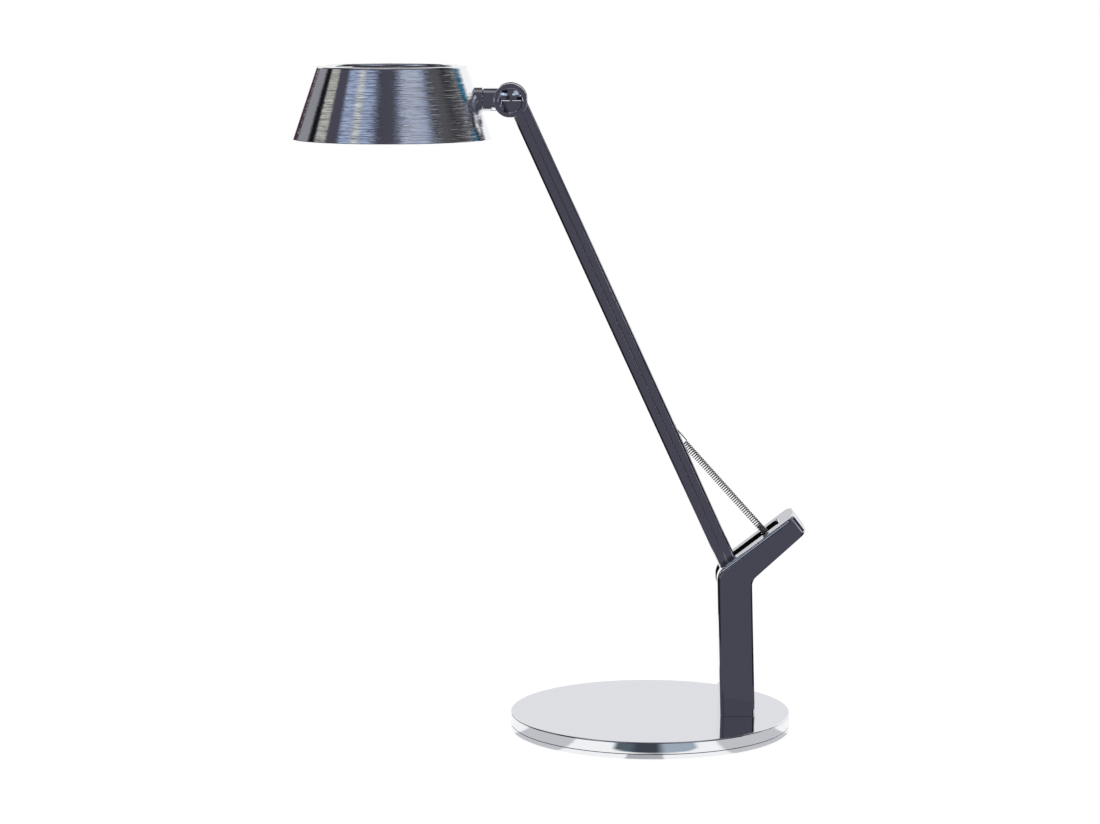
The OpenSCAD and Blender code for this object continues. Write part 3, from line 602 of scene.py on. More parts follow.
def makeBase(shape):
    radius, top, inner = shape["radius"], shape["top"], shape["radius"] - shape["wall"]
    cover = [(0, top - shape["wall"]), (inner, top - shape["wall"], 0.5), (inner, shape["seam"])]
    cover += [(radius, shape["seam"], 0.12), (radius, top, shape["edge"]), (0, top)]
    piece("base_cover_spun", turnedShape(cover, 256), chromeSpunBase, "stand", ["base_cover"])
    plateStep, plateFoot, plateUnder, plateTop = (
        shape["plate" + key] for key in ("Step", "Foot", "Under", "Top")
    )
    plate = [(0, plateFoot), (plateStep, plateFoot), (plateStep, plateUnder), (radius, plateUnder, 0.5)]
    plate += [(radius, plateTop, 0.15), (0, plateTop)]
    piece(
        "base_plate_turned", turnedShape(plate, 256), chromeSpunBase, "stand", ["base_plate"],
    )


makeBase(baseShape)
print("base made")

# The bracket: a stem that bends back into a slotted head
bracketShape = {
    "frontNormal": 181.5, "front": 10.75,
    "backNormal": 1.5, "back": 11.65,
    "topNormal": 127.4, "top": 9.56,
    "underNormal": 312.3, "under": 9.23,
    "reach": 54.6, "foot": 90.05,
    "cornerRadius": 9.7, "hollowRadius": 6.5, "endRadius": 5, "edgeRadius": 2.4,
    "width": 38, "slotWidth": 16, "slotReach": 42.7, "slotDepth": 12.9, "slotEndEdge": 1.4,
    "pocket": 7.2, "mouthTurn": 73.6, "footEdge": 0.35,
    "pinRecess": 4.9, "recessFrom": 16, "springPinHole": 0.95, "inletHole": 5.0, "inletTurn": 88.5,
}


def meet(angle1, far1, angle2, far2):
    # Where two straight edges cross, each given by the angle of its normal and its distance
    a1, a2 = math.radians(angle1), math.radians(angle2)
    det = math.sin(a2 - a1)
    return (
        (far1 * math.sin(a2) - far2 * math.sin(a1)) / det,
        (far2 * math.cos(a1) - far1 * math.cos(a2)) / det,
    )


def makeBracket(s):
    slope = math.radians(s["topNormal"] - 90)

    def onSlope(far, up):
        return (far * math.cos(slope) - up * math.sin(slope), far * math.sin(slope) + up * math.cos(slope))

    mouth = math.radians(180 + s["mouthTurn"])
    lowFront = (s["pocket"] * math.cos(mouth), s["pocket"] * math.sin(mouth))
    way = (math.cos(mouth - math.pi / 2), math.sin(mouth - math.pi / 2))
    front = math.radians(s["frontNormal"])
    out = (math.cos(front), math.sin(front))
    run = (s["front"] - lowFront[0] * out[0] - lowFront[1] * out[1]) / (way[0] * out[0] + way[1] * out[1])
    mouthFoot = (lowFront[0] + run * way[0], lowFront[1] + run * way[1])
    slotTop = onSlope(s["slotReach"], s["top"])
    floorUp = s["top"] - s["slotDepth"]
    corners = [
        meet(s["frontNormal"], s["front"], 270, s["foot"]),
        mouthFoot,
        meet(s["frontNormal"], s["front"], s["topNormal"], s["top"]) + (s["cornerRadius"],),
        slotTop,
        meet(s["topNormal"], s["top"], s["topNormal"] - 90, s["reach"]),
        meet(s["topNormal"] - 90, s["reach"], s["underNormal"], s["under"]),
        meet(s["underNormal"], s["under"], s["backNormal"], s["back"]) + (s["hollowRadius"],),
        meet(s["backNormal"], s["back"], 270, s["foot"]),
    ]
    half = s["width"] / 2 * mm
    bm = bmesh.new()
    section(bm, corners, lambda a, b: (a, -half, b))
    find = lambda p: min(bm.verts, key=lambda v: (v.co - Vector((p[0] * mm, -half, p[1] * mm))).length)
    # the slot's floor: the pocket round the pivot, then straight back, then up
    meetFloor = math.atan2(*reversed(onSlope(math.sqrt(s["pocket"] ** 2 - floorUp**2), floorUp)))
    sweep = [mouth - math.tau + (meetFloor + math.tau - mouth) * i / 14 for i in range(15)]
    path = [
        (s["pocket"] * math.cos(a), s["pocket"] * math.sin(a)) for a in sweep
    ] + [onSlope(s["slotReach"], floorUp)]
    pathPoints = [Vector((a * mm, -half, b * mm)) for a, b in path]
    bm.faces.ensure_lookup_table()
    bmesh.utils.face_split(bm.faces[0], find(mouthFoot), find(slotTop), coords=pathPoints)
    isFace = lambda g: isinstance(g, bmesh.types.BMFace)
    isVert = lambda g: isinstance(g, bmesh.types.BMVert)
    pathEdges = [e for e in bm.edges if len(e.link_faces) == 2]
    cheek = bmesh.ops.extrude_face_region(bm, geom=bm.faces[:])["geom"]
    bmesh.ops.translate(bm, vec=(0, half - s["slotWidth"] / 2 * mm, 0), verts=list(filter(isVert, cheek)))
    bmesh.ops.dissolve_edges(bm, edges=pathEdges, use_verts=True)
    core = max(filter(isFace, (g for g in cheek if g.is_valid)), key=lambda f: f.calc_area())
    middle = bmesh.ops.extrude_face_region(bm, geom=[core])["geom"]
    bmesh.ops.translate(bm, vec=(0, s["slotWidth"] / 2 * mm, 0), verts=list(filter(isVert, middle)))
    bmesh.ops.delete(bm, geom=list(filter(isFace, middle)), context="FACES_ONLY")
    bmesh.ops.mirror(bm, geom=bm.verts[:] + bm.edges[:] + bm.faces[:], axis="Y", merge_dist=1e-6)
    bmesh.ops.remove_doubles(bm, verts=bm.verts[:], dist=1e-6)
    # the walls left inside, between the cheeks and the middle
    walls = [f for f in bm.faces if all(len(e.link_faces) > 2 for e in f.edges)]
    bmesh.ops.delete(bm, geom=walls, context="FACES_ONLY")
    bmesh.ops.recalc_face_normals(bm, faces=bm.faces[:])
    footLevel = -s["foot"] * mm + 1e-6
    slotHalf = s["slotWidth"] / 2 * mm + 1e-6

    def rimEdges():
        atSide = lambda f: abs(abs(f.calc_center_median().y) - half) < 1e-5
        sides = [f for f in bm.faces if abs(f.normal.y) > 0.999 and atSide(f)]
        return {e for f in sides for e in f.edges if max(v.co.z for v in e.verts) > footLevel}

    along = Vector((math.cos(slope), 0, math.sin(slope)))
    far = s["reach"] * mm - 1e-5
    ends = [e for e in rimEdges() if all(v.co.dot(along) > far for v in e.verts)]
    roundEdges(bm, ends, s["endRadius"], 10)
    turned = {
        e
        for e in bm.edges
        if len(e.link_faces) == 2
        and all(v.co.dot(along) > far - s["endRadius"] * mm for v in e.verts)
        and any(abs(f.normal.y) > 1e-3 for f in e.link_faces)
        and 0.5 < e.calc_face_angle(0)
        and all(abs(v.co.y) > half - s["endRadius"] * mm - 1e-5 for v in e.verts)
    }
    roundEdges(bm, list(rimEdges() | turned), s["edgeRadius"], 7)
    footEdges = [
        e
        for e in bm.edges
        if all(v.co.z < footLevel for v in e.verts)
        and len(e.link_faces) == 2
        and e.calc_face_angle(0) > 1
        and e.calc_length() > 1e-4
    ]
    roundEdges(bm, footEdges, s["footEdge"], 2)
    # the slot's upper end is rounded over, so the spring's last turns clear it when the arm stands upright
    lip = Vector((slotTop[0], 0, slotTop[1])) * mm
    atLip = lambda v: (Vector((v.co.x, 0, v.co.z)) - lip).length < 1e-6 and abs(v.co.y) < slotHalf
    roundEdges(bm, [e for e in bm.edges if all(map(atLip, e.verts))], s["slotEndEdge"], 4)
    settle(bm, Matrix.Translation(Vector(places["pivot"]) * mm))
    return bm


bracketMesh = makeBracket(bracketShape)
pivotX, pivotY, pivotZ = places["pivot"]
recessPlace = towards("+Y", (pivotX, pivotY + bracketShape["recessFrom"], pivotZ))
pinRecess = roundBar(bracketShape["pinRecess"], 8, recessPlace)
springPinHole = roundBar(bracketShape["springPinHole"], 40, towards("+Y", places["springPin"]), 32)
inletPlace = Matrix.Translation([c * mm for c in places["inlet"]])
inletPlace = inletPlace @ Matrix.Rotation(math.radians(bracketShape["inletTurn"]), 4, "Y")
inletHole = roundBar(bracketShape["inletHole"], 6, inletPlace, 64)
bracketMesh = combine(bracketMesh, [pinRecess, springPinHole, inletHole], "DIFFERENCE")
slotSide = bracketShape["slotWidth"] / 2 * mm + 1e-5
# painted shade: the side faces inside the slot take the darker chrome
for cheekFace in bracketMesh.faces:
    inSlot = abs(cheekFace.calc_center_median().y) < slotSide
    cheekFace.material_index = int(inSlot and abs(cheekFace.normal.y) > 0.99)
bracketMade = piece("bracket_plated", bracketMesh, chromeCast, "stand", ["bracket"])
bracketMade.data.materials.append(paintedShadeSlotChrome)
smoothCopy("pivot_pin", brightSteel, "stand")
smoothCopy("spring_pin_lower", brightSteel, "stand")
smoothCopy("inlet_bush", blackNylon, "stand")
print("bracket made")

# The arm: two drawn shells that meet in a seam along the sides
armShape = {
    "from": 3, "to": 331.1, "wide": 6, "deep": 7.5, "edge": 1.8, "wall": 1.4,
    "seam": 0.15, "seamEdge": 0.4, "lip": 1.4, "play": 0.1, "inEdge": 0.4,
    "footRoom": 6.3, "knuckleRoom": 8.5, "knuckle": (-3.2, 335.2),
    "mouth": (1.5, 3.07), "mouthLong": 26, "mouthUp": 78.9, "mouthAt": 5.2,
    "screwsUp": (21, 314.2), "sinkSmall": 1.6, "sinkWide": 3.2, "sinkDeep": 2, "sinkAt": 5.3,
}


def makeArm(s):
    place = Matrix.Translation(Vector(places["pivot"]) * mm)
    place = place @ Matrix.Rotation(-math.radians(places["armTilt"]), 4, "Y")
    start = place @ Matrix.Translation((0, 0, s["from"] * mm))
    wide, deep, seam, lip = s["wide"], s["deep"], s["seam"], s["seam"] + s["lip"]
    inX, inY = wide - s["wall"], deep - s["wall"]
    play, edge, seamEdge, inEdge = s["play"], s["edge"], s["seamEdge"], s["inEdge"]
    step = inY + s["wall"] / 2
    # the front half is rebated for the lips of the back half
    frontHalf = [(-seam, deep, seamEdge), (-wide, deep, edge), (-wide, -deep, edge), (-seam, -deep, seamEdge)]
    frontHalf += [(-seam, play - step), (-lip - play, play - step), (-lip - play, -inY)]
    frontHalf += [(-inX, -inY, inEdge), (-inX, inY, inEdge)]
    frontHalf += [(-lip - play, inY), (-lip - play, step - play), (-seam, step - play)]
    backHalf = [(seam, deep, seamEdge), (wide, deep, edge), (wide, -deep, edge), (seam, -deep, seamEdge)]
    backHalf += [(seam, -step), (-lip, -step), (-lip, -inY), (inX, -inY, inEdge), (inX, inY, inEdge)]
    backHalf += [(-lip, inY), (-lip, step), (seam, step)]

    def endCuts():
        across = Matrix.Rotation(math.radians(-90), 4, "X")
        foot = roundBar(s["footRoom"], 30, place @ Matrix.Translation((0, -15 * mm, 0)) @ across)
        back, up = s["knuckle"]
        knuckle = roundBar(
            s["knuckleRoom"], 30, place @ Matrix.Translation((back * mm, -15 * mm, up * mm)) @ across
        )
        return [foot, knuckle]

    length = s["to"] - s["from"]
    frontMesh = combine(bar(frontHalf, length, start), endCuts(), "DIFFERENCE")
    piece("arm_front_drawn", frontMesh, chromeSheet, "arm", ["arm_front"])
    # the mouth that the spring's hook goes in by
    x, y = s["mouth"]
    mouthPlace = place @ Matrix.Translation((s["mouthAt"] * mm, 0, s["mouthUp"] * mm))
    mouth = bar([(-x, -y), (x, -y), (x, y), (-x, y)], s["mouthLong"], mouthPlace)
    sinks = []
    for up in s["screwsUp"]:
        sink = bmesh.new()
        small, large, depth = s["sinkSmall"] * mm, s["sinkWide"] * mm, s["sinkDeep"] * mm
        bmesh.ops.create_cone(sink, cap_ends=True, segments=48, radius1=small, radius2=large, depth=depth)
        sinkPlace = place @ Matrix.Translation((s["sinkAt"] * mm, 0, up * mm))
        sinkPlace = sinkPlace @ Matrix.Rotation(math.radians(90), 4, "Y")
        bmesh.ops.transform(sink, verts=sink.verts[:], matrix=sinkPlace)
        sinks.append(sink)
    backMesh = combine(bar(backHalf, length, start), endCuts() + [mouth] + sinks, "DIFFERENCE")
    piece("arm_back_drawn", backMesh, chromeSheet, "arm", ["arm_back"])


makeArm(armShape)
smoothCopy("arm_foot", rawZinc, "arm")
smoothCopy("arm_knuckle", rawZinc, "arm")
smoothCopy("arm_screws", brightSteel, "arm")
print("arm made")

# The balance spring: one wire, from the hook on the upper pin to the last turn
springShape = {
    "coilRadius": 2.1, "wire": 0.78, "turns": 52, "coilFrom": 13, "coilTo": 91.21, "bend": 0.6,
    "hook": 250, "sides": 10, "stepsPerTurn": 24,
    "paintedGrooveShadeIn": 2.22, "paintedGrooveShadeOut": 2.4,
}


def makeSpring(s):
    place = Matrix.Translation(Vector(places["springTop"]) * mm)
    place = place @ Matrix.Rotation(math.radians(places["springTurn"]), 4, "Y")
    side = math.hypot(s["coilRadius"], s["bend"])
    pitch = (s["coilTo"] - s["coilFrom"]) / s["turns"]
    climb = math.atan(pitch / (math.tau * s["coilRadius"]))
    bm = bmesh.new()
    ring = bmesh.ops.create_circle(
        bm, cap_ends=False, segments=s["sides"], radius=s["wire"] / 2 * mm
    )["verts"]
    bmesh.ops.translate(bm, vec=(-side * mm, 0, 0), verts=ring)
    ringEdges = list({e for v in ring for e in v.link_edges})
    lastOnly = lambda geom: [g for g in geom if not isinstance(g, bmesh.types.BMFace)]
    # the hook goes back round the pin
    hook = bmesh.ops.spin(
        bm, geom=ring + ringEdges, cent=(0, 0, 0), axis=(0, 1, 0), dvec=(0, 0, 0),
        angle=-math.radians(s["hook"]), steps=28
    )["geom_last"]
    tipEdges = [g for g in hook if isinstance(g, bmesh.types.BMEdge)]
    bmesh.ops.contextual_create(bm, geom=tipEdges)
    # the straight wire down to the coil
    straight = bmesh.ops.extrude_edge_only(bm, edges=ringEdges)["geom"]
    down = [g for g in straight if isinstance(g, bmesh.types.BMVert)]
    bmesh.ops.translate(bm, vec=(0, 0, (s["coilFrom"] - s["bend"]) * mm), verts=down)
    # the bend into the first turn, about a line that points out from the coil's axis
    t = math.pi + math.atan(s["bend"] / s["coilRadius"])
    outward = Vector((math.cos(t), math.sin(t), 0))
    sideways = Vector((-math.sin(t), math.cos(t), 0))
    bendCentre = Vector((-side, 0, s["coilFrom"] - s["bend"])) * mm + sideways * s["bend"] * mm
    downEdges = list({e for v in down for e in v.link_edges if all(w in down for w in e.verts)})
    bend = bmesh.ops.spin(
        bm, geom=down + downEdges, cent=bendCentre, axis=outward, dvec=(0, 0, 0),
        angle=-(math.pi / 2 - climb), steps=8
    )["geom_last"]
    steps = s["turns"] * s["stepsPerTurn"]
    coil = bmesh.ops.spin(
        bm, geom=lastOnly(bend), cent=(0, 0, 0), axis=(0, 0, 1),
        dvec=(0, 0, (s["coilTo"] - s["coilFrom"]) * mm / steps),
        angle=math.tau * s["turns"], steps=steps,
    )["geom_last"]
    bmesh.ops.contextual_create(bm, geom=[g for g in coil if isinstance(g, bmesh.types.BMEdge)])
    # painted shade: the coil is darkened in its grooves, up to a distance from its axis; the crests keep the
    # bright nickel
    paintedGrooveShade = bm.verts.layers.float.new("paintedGrooveShade")
    for vert in bm.verts:
        far = math.hypot(vert.co.x, vert.co.y) / mm
        unshaded = (far - s["paintedGrooveShadeIn"]) / (s["paintedGrooveShadeOut"] - s["paintedGrooveShadeIn"])
        vert[paintedGrooveShade] = 1 - min(1, max(0, unshaded)) if vert.co.z > s["coilFrom"] * mm else 0
    settle(bm, place)
    made = piece("balance_spring_wire", bm, springWire, None, ["balance_spring"])
    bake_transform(made)


makeSpring(springShape)
smoothCopy("spring_link", springWire, "spring_end")
print("spring made")

# The head hinge: a turned hub cut into two cheeks, with the collar of the neck
hingeShape = {
    "hub": 10.7, "half": 13, "edge": 0.6, "cheekIn": 8.0, "seat": 0.5, "web": 8.6, "webTurn": 52,
    "collar": 7.4, "collarEnd": -17.2, "cap": 7.9, "capEdge": 1.15, "domeFoot": 1.3, "rise": 2.6,
}
bossShape = {"bore": 4.1, "radius": 7.9, "from": 17.6, "to": 23.8, "edge": 0.35}


def makeHinge(s):
    hub = [
        (0, s["seat"] - s["half"]), (s["cap"] + 0.1, s["seat"] - s["half"]),
        (s["cap"] + 0.1, -s["half"], 0.2),
    ]
    hub += [(s["hub"], -s["half"], s["edge"]), (s["hub"], s["half"], s["edge"])]
    hub += [
        (s["cap"] + 0.1, s["half"], 0.2), (s["cap"] + 0.1, s["half"] - s["seat"]),
        (0, s["half"] - s["seat"]),
    ]
    hubMesh = turnedShape(hub, 160)
    bmesh.ops.transform(hubMesh, matrix=towards("+Y", places["hinge"]), verts=hubMesh.verts[:])
    collar = turnedShape(
        [(0, 5), (s["collar"], 5), (s["collar"], -s["collarEnd"], 0.35), (0, -s["collarEnd"])], 128
    )
    bmesh.ops.transform(collar, matrix=towards("-X", places["hinge"]), verts=collar.verts[:])
    yoke = combine(hubMesh, [collar], "UNION")
    wide = 2 * s["cheekIn"]
    back = Vector(places["hinge"]) + Vector((0, -s["cheekIn"], 0))
    roundRoom = roundBar(s["web"], wide, towards("+Y", back), 128)
    turn = math.radians(s["webTurn"])
    far = 24
    wedge = [
        (0, 0), (-far * math.cos(turn), -far * math.sin(turn)), (0, -far), (far, -far), (far, far),
        (0, far),
    ]
    wedge += [(-far * math.cos(turn), far * math.sin(turn))]
    openPlace = Matrix.Translation(back * mm) @ Matrix.Rotation(math.radians(90), 4, "X")
    openRoom = bar(wedge, wide, openPlace @ Matrix.Scale(-1, 4, (0, 0, 1)))
    bmesh.ops.recalc_face_normals(openRoom, faces=openRoom.faces[:])
    yoke = combine(yoke, [roundRoom, openRoom], "DIFFERENCE")
    piece("neck_yoke_turned", yoke, chromeHinge, "neck", ["neck_yoke"])
    # two domed caps on the ends of the axle
    rise = s["rise"]
    ball = (s["cap"] ** 2 + rise**2) / (2 * rise)
    dome = [(0, 0), (s["cap"], 0), (s["cap"], s["capEdge"], 0.12)]
    widest = math.asin((s["cap"] - 0.1) / ball)
    for i in range(25):
        a = widest * (1 - i / 24)
        dome.append((ball * math.sin(a), s["domeFoot"] + rise - ball + ball * math.cos(a)))
    caps = bmesh.new()
    for axis, out in (("+Y", 1), ("-Y", -1)):
        one = turnedShape(dome, 128)
        seat = Vector(places["hinge"]) + Vector((0, out * (s["half"] - s["seat"]), 0))
        bmesh.ops.transform(one, matrix=towards(axis, seat), verts=one.verts[:])
        mesh = bpy.data.meshes.new("cap")
        one.to_mesh(mesh)
        one.free()
        caps.from_mesh(mesh)
        bpy.data.meshes.remove(mesh)
    piece("hinge_caps_domed", caps, chromeHinge, "neck", ["hinge_caps"])


makeHinge(hingeShape)
bore, outside, low, high = (bossShape[key] for key in ("bore", "radius", "from", "to"))
bossMesh = turnedShape([(bore, low), (outside, low, bossShape["edge"]), (outside, high), (bore, high)], 128)
bmesh.ops.transform(bossMesh, matrix=towards("-X", places["hinge"]), verts=bossMesh.verts[:])
piece("neck_boss_turned", bossMesh, chromeNeck, "head", ["neck_boss"])
print("hinge made")

# The shade: a spun cone, its rim rolled inwards round the opening at the top
shadeShape = {
    "mouth": 63, "top": 47.25, "height": 46, "wall": 1.2, "open": 40, "rim": 1.8, "lip": 7,
    "ringFrom": 2.5, "ringTo": 5, "ringWide": 5.85, "ringFit": 0.15, "paneFrom": 5.02, "paneTo": 7.5,
}


def makeShade(s):
    slope = (s["mouth"] - s["top"]) / s["height"]
    inward = s["wall"] * math.sqrt(1 + slope * slope)
    under = s["height"] - s["wall"]
    outline = [
        (s["mouth"], 0, 0.35),
        (s["top"], s["height"], s["rim"]),
        (s["open"], s["height"], s["rim"]),
        (s["open"], s["height"] - s["lip"], 0.3),
        (s["open"] + s["wall"], s["height"] - s["lip"], 0.3),
        (s["open"] + s["wall"], under, 0.5),
        (s["mouth"] - under * slope - inward, under, 0.7),
        (s["mouth"] - inward, 0, 0.35),
    ]
    bm = turnedShape(outline, 288)
    bmesh.ops.translate(bm, vec=Vector(places["shadeFoot"]) * mm, verts=bm.verts[:])
    piece("shade_shell_spun", bm, chromeSpunShade, "head", ["shade_shell"])

    def wallRadius(z):
        return s["mouth"] - z * slope - inward - s["ringFit"]

    low, high = s["ringFrom"], s["ringTo"]
    ringBore = wallRadius(high) - s["ringWide"]
    ring = [
        (ringBore, low, 0.4), (wallRadius(low), low, 0.3), (wallRadius(high), high), (ringBore, high, 0.3)
    ]
    bm = turnedShape(ring, 192)
    bmesh.ops.translate(bm, vec=Vector(places["shadeFoot"]) * mm, verts=bm.verts[:])
    piece("retaining_ring_turned", bm, satinChrome, "head", ["retaining_ring"])
    under, over = s["paneFrom"], s["paneTo"]
    pane = [(0, under), (wallRadius(high), under, 0.2), (wallRadius(over), over, 0.2), (0, over)]
    bm = turnedShape(pane, 128)
    bmesh.ops.translate(bm, vec=Vector(places["shadeFoot"]) * mm, verts=bm.verts[:])
    piece("diffuser_pane", bm, opalAcrylic, "head", ["diffuser"])


makeShade(shadeShape)
print("shade made")

# The studio as the chrome mirrors it: painted reflections, seen only by glossy rays. A panel is a tint over a
# range of directions or places; a later one covers an earlier one
darkCard = "#4B4A56"
mirrorFloor = [
    {"tint": "#FFFFFF"},
    {"far": (0.13, 50), "turn": (-118, 118), "reach": (0.066, 50), "tint": darkCard, "soft": 3},
    {"front": (0.05, 50), "turn": (-60, 60), "reach": (0.066, 50), "tint": darkCard, "soft": 3},
    {"far": (0.22, 3), "turn": (-118, -38), "reach": (0.066, 50), "tint": "#1A1A1E", "soft": 40},
    {"far": (0.22, 3), "turn": (-118, -74), "reach": (0.066, 50), "tint": "#151518", "soft": 6},
    {"far": (0.22, 3), "turn": (62, 118), "reach": (0.066, 50), "tint": "#1A1A1E", "soft": 12},
    {"far": (0.3, 50), "turn": (-165, -118), "reach": (0.066, 50), "tint": "#3A3A40", "soft": 6},
    {"far": (0.6, 50), "turn": (160, 200), "reach": (0.066, 50), "tint": "#E1E1E3", "soft": 6},
    {"far": (-1, 0.17), "turn": (-79, -43), "reach": (-1, 0.066), "tint": "#CBCBCF", "soft": 3},
    {"far": (-1, 0.17), "turn": (34.6, 79), "reach": (-1, 0.066), "tint": "#CBCBCF", "soft": 3},
    {"front": (0.108, 0.2), "turn": (-20, 21), "reach": (-1, 0.066), "tint": "#58646E", "soft": 4},
    {"front": (0.108, 0.2), "turn": (-1, 22), "reach": (-1, 0.066), "tint": "#A6B2BE", "soft": 6},
    {"front": (0.108, 0.2), "turn": (-10, 4), "reach": (-1, 0.066), "tint": "#42474F", "soft": 6},
    {"far": (-1, 0.106), "turn": (-12, 4), "reach": (-1, 0.066), "tint": "#B5B5BA", "soft": 2},
]
mirrorPanels = [
    {"tint": "#FFFFFF"},
    {"azimuth": (-200, -172), "elevation": (5, 36), "tint": "#E8E8EB", "soft": 2},
    {"azimuth": (172, 200), "elevation": (5, 36), "tint": "#E8E8EB", "soft": 2},
    {"azimuth": (-175, -165), "elevation": (3, 9), "tint": "#D1D1D4", "soft": 2},
    {"elevation": (38, 100), "tint": "#3B3C41", "soft": 8},
    {"azimuth": (-146, 130), "elevation": (-20, 74), "tint": darkCard, "soft": 2},
    {"azimuth": (-170, -95), "elevation": (60, 92), "tint": "#A9ADB4", "soft": 20},
    {"azimuth": (95, 170), "elevation": (60, 92), "tint": "#A9ADB4", "soft": 20},
    {"azimuth": (-160, -22), "elevation": (38.5, 56), "tint": "#131316", "soft": 2.5},
    {"azimuth": (-161, -141), "elevation": (-4, 9.5), "tint": "#46303A", "soft": 1.5},
    {"azimuth": (-141, -116), "elevation": (0, 22), "tint": "#8F9095", "soft": 2},
    {"azimuth": (-116, -105), "elevation": (0, 44), "tint": "#151518", "soft": 2},
    {"azimuth": (-105, -86), "elevation": (19, 26.5), "tint": "#D3D2C6", "soft": 2},
    {"azimuth": (-69, -21.5), "elevation": (25.5, 36), "tint": "#B9C9EA", "soft": 2.5, "elevationSoft": 6},
    {"azimuth": (-50, -42), "elevation": (25.5, 37), "tint": "#F6F6EA", "soft": 5},
    {"azimuth": (26, 52), "elevation": (35, 50), "tint": "#C0C1C4", "soft": 10},
    {"azimuth": (10.5, 55), "elevation": (28, 36), "tint": "#B2C1DF", "soft": 2.5, "elevationSoft": 6},
    {"azimuth": (19.5, 21.5), "elevation": (24, 40), "tint": "#FFFFFF", "soft": 1},
    {"azimuth": (54, 68), "elevation": (19, 23.5), "tint": "#C4C6CA", "soft": 1.5},
    {"azimuth": (66, 114), "elevation": (16, 50), "tint": "#545458", "soft": 2},
    {"azimuth": (65.5, 67), "elevation": (24, 50), "tint": "#2A2A2E", "soft": 0.5},
    {"azimuth": (36, 80), "elevation": (3.5, 16), "tint": "#0E0E10", "soft": 2},
    {"azimuth": (80, 112), "elevation": (-2, 14), "tint": "#FFFFFF", "soft": 2},
    {"azimuth": (112, 131), "elevation": (-2, 10.5), "tint": "#FFFFFF", "soft": 1},
    {"azimuth": (86, 135), "elevation": (25.5, 50), "tint": "#151518", "soft": 2},
    {"azimuth": (113, 115), "elevation": (12, 24), "tint": "#A4A6AC", "soft": 1},
    {"azimuth": (115, 120), "elevation": (12, 38), "tint": "#101013", "soft": 1},
    {"azimuth": (120, 126), "elevation": (12, 38), "tint": "#1C86AF", "soft": 1},
    {"azimuth": (126, 130), "elevation": (12, 38), "tint": "#1B1B1F", "soft": 1},
    {"azimuth": (-24, -5), "elevation": (5, 23), "tint": "#26272C", "soft": 6},
    {"azimuth": (-62, -3), "elevation": (-0.4, 3), "tint": "#101013", "soft": 0.6},
    {"azimuth": (8, 62), "elevation": (-0.4, 3), "tint": "#101013", "soft": 0.6},
    {"azimuth": (-60, -4), "elevation": (-3.2, -0.2), "tint": "#FFFFFF", "soft": 1},
    {"azimuth": (9, 60), "elevation": (-2.6, -0.4), "tint": "#FFFFFF", "soft": 1},
    {"elevation": (76, 100), "tint": "#85878D", "soft": 8},
]


def paintPanels(tree, panels, values):
    # Each value is a socket and what one unit of softness is worth on it
    tint = None
    for panel in panels:
        if tint is None:
            tint = add(tree, "ShaderNodeRGB").outputs[0]
            tint.default_value = colour(panel["tint"])
            continue
        mask = None
        for key, (value, unit) in values.items():
            for edge, sign in zip(panel.get(key, ()), (1, -1)):
                half = sign * panel.get(key + "Soft", panel["soft"]) * unit / 2
                ramp = add(
                    tree, "ShaderNodeMapRange",
                    {"Value": value, "From Min": edge - half, "From Max": edge + half},
                    interpolation_type="SMOOTHSTEP",
                ).outputs[0]
                mask = ramp if mask is None else add(
                    tree, "ShaderNodeMath", {0: mask, 1: ramp}, operation="MULTIPLY"
                ).outputs[0]
        mix = add(
            tree,
            "ShaderNodeMix",
            {"Factor": mask, "A": tint, "B": colour(panel["tint"])},
            data_type="RGBA",
        )
        tint = mix.outputs["Result"]
    return tint


def bearing(tree, parts):
    # Degrees round from the front, -Y, towards +X, and how far in front
    front = add(tree, "ShaderNodeMath", {0: parts.outputs["Y"], 1: -1.0}, operation="MULTIPLY").outputs[0]
    turn = add(tree, "ShaderNodeMath", {0: parts.outputs["X"], 1: front}, operation="ARCTAN2").outputs[0]
    return add(tree, "ShaderNodeMath", {0: turn}, operation="DEGREES").outputs[0], front


def makeFloor():
    bm = bmesh.new()
    bmesh.ops.create_grid(bm, x_segments=2, y_segments=2, size=6)
    mesh = bpy.data.meshes.new("studio_floor")
    bm.to_mesh(mesh)
    bm.free()
    floor = bpy.data.objects.new("studio_floor", mesh)
    bpy.context.scene.collection.objects.link(floor)
    material, tree = newMaterial("paintedStudioFloor")
    point = objectPoint(tree)
    turn, front = bearing(tree, add(tree, "ShaderNodeSeparateXYZ", {"Vector": point}))
    path = add(tree, "ShaderNodeLightPath")
    far = add(tree, "ShaderNodeVectorMath", {0: point}, operation="LENGTH").outputs["Value"]
    measures = {
        "turn": (turn, 1), "far": (far, mm), "front": (front, mm),
        "reach": (path.outputs["Ray Length"], mm),
    }
    tint = paintPanels(tree, mirrorFloor, measures)
    plain = add(tree, "ShaderNodeBsdfDiffuse", {"Color": (0.8, 0.8, 0.8, 1)})
    faint = add(tree, "ShaderNodeBsdfDiffuse", {"Color": (0.22, 0.22, 0.22, 1)})
    glow = add(tree, "ShaderNodeEmission", {"Color": (1, 1, 1, 1), "Strength": 0.85})
    seen = add(tree, "ShaderNodeAddShader", {0: faint.outputs[0], 1: glow.outputs[0]})
    mirrored = add(tree, "ShaderNodeEmission", {"Color": tint, "Strength": 1.0})
    other = add(
        tree,
        "ShaderNodeMixShader",
        {0: path.outputs["Is Glossy Ray"], 1: plain.outputs[0], 2: mirrored.outputs[0]},
    )
    closeMaterial(
        tree,
        add(
            tree,
            "ShaderNodeMixShader",
            {0: path.outputs["Is Camera Ray"], 1: other.outputs[0], 2: seen.outputs[0]},
        ),
    )
    mesh.materials.append(material)


makeFloor()


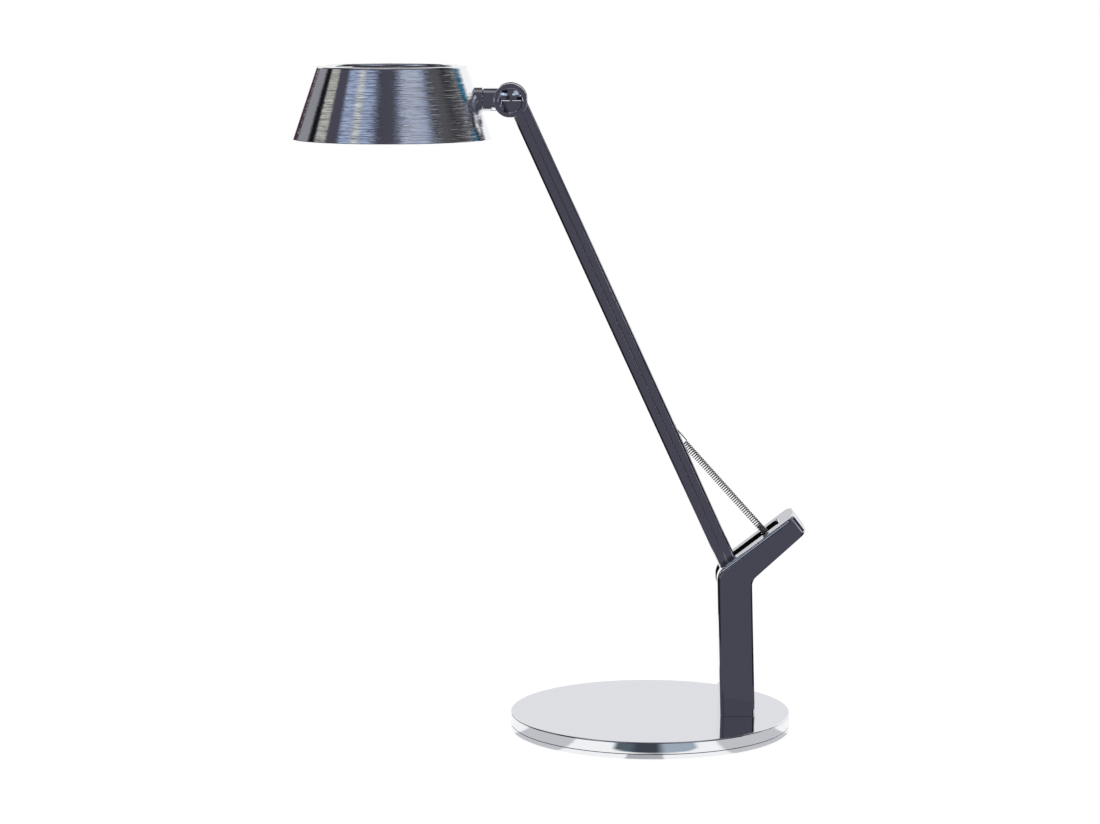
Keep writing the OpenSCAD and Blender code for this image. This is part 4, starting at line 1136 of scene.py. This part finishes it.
def makeWorld():
    world = bpy.data.worlds.new("softStudio")
    bpy.context.scene.world = world
    world.use_nodes = True
    tree = world.node_tree
    tree.nodes.clear()
    parts = add(
        tree, "ShaderNodeSeparateXYZ", {"Vector": add(tree, "ShaderNodeTexCoord").outputs["Generated"]}
    )
    azimuth = bearing(tree, parts)[0]
    height = add(tree, "ShaderNodeMath", {0: parts.outputs["Z"]}, operation="ARCSINE").outputs[0]
    height = add(tree, "ShaderNodeMath", {0: height}, operation="DEGREES").outputs[0]
    tint = paintPanels(tree, mirrorPanels, {"azimuth": (azimuth, 1), "elevation": (height, 1)})
    path = add(tree, "ShaderNodeLightPath")
    mirrored = add(tree, "ShaderNodeBackground", {"Color": tint, "Strength": 1.0})
    fill = add(tree, "ShaderNodeBackground", {"Color": colour("#F4F6FA"), "Strength": 0.75})
    white = add(tree, "ShaderNodeBackground", {"Color": (1, 1, 1, 1), "Strength": 1.0})
    other = add(
        tree,
        "ShaderNodeMixShader",
        {0: path.outputs["Is Glossy Ray"], 1: fill.outputs[0], 2: mirrored.outputs[0]},
    )
    sky = add(
        tree,
        "ShaderNodeMixShader",
        {0: path.outputs["Is Camera Ray"], 1: other.outputs[0], 2: white.outputs[0]},
    )
    out = add(tree, "ShaderNodeOutputWorld")
    tree.links.new(sky.outputs[0], out.inputs["Surface"])


makeWorld()

# One wide lamp overhead for soft shadows; the chrome doesn't mirror it
lampData = bpy.data.lights.new("overheadSoftBox", "AREA")
lampData.shape = "RECTANGLE"
lampData.size, lampData.size_y = 1.4, 1.0
lampData.energy = 14
lamp = bpy.data.objects.new("overheadSoftBox", lampData)
lamp.location = (-0.2, -0.3, 1.7)
lamp.rotation_euler = (math.radians(-10), math.radians(-7), 0)
lamp.visible_glossy = False
bpy.context.scene.collection.objects.link(lamp)

# The camera stands where the photograph was taken from
cameraData = bpy.data.cameras.new("camera")
cameraData.sensor_fit = "HORIZONTAL"
cameraData.sensor_width = 36
cameraData.lens = 108.94
cameraData.clip_start, cameraData.clip_end = 0.05, 60
camera = bpy.data.objects.new("camera", cameraData)
camera.location = (-0.06477, -2.10686, 0.49930)
camera.rotation_euler = (math.radians(82.07), 0, 0)
bpy.context.scene.collection.objects.link(camera)
bpy.context.scene.camera = camera
bpy.context.scene.view_settings.view_transform = "Standard"
print("studio made")
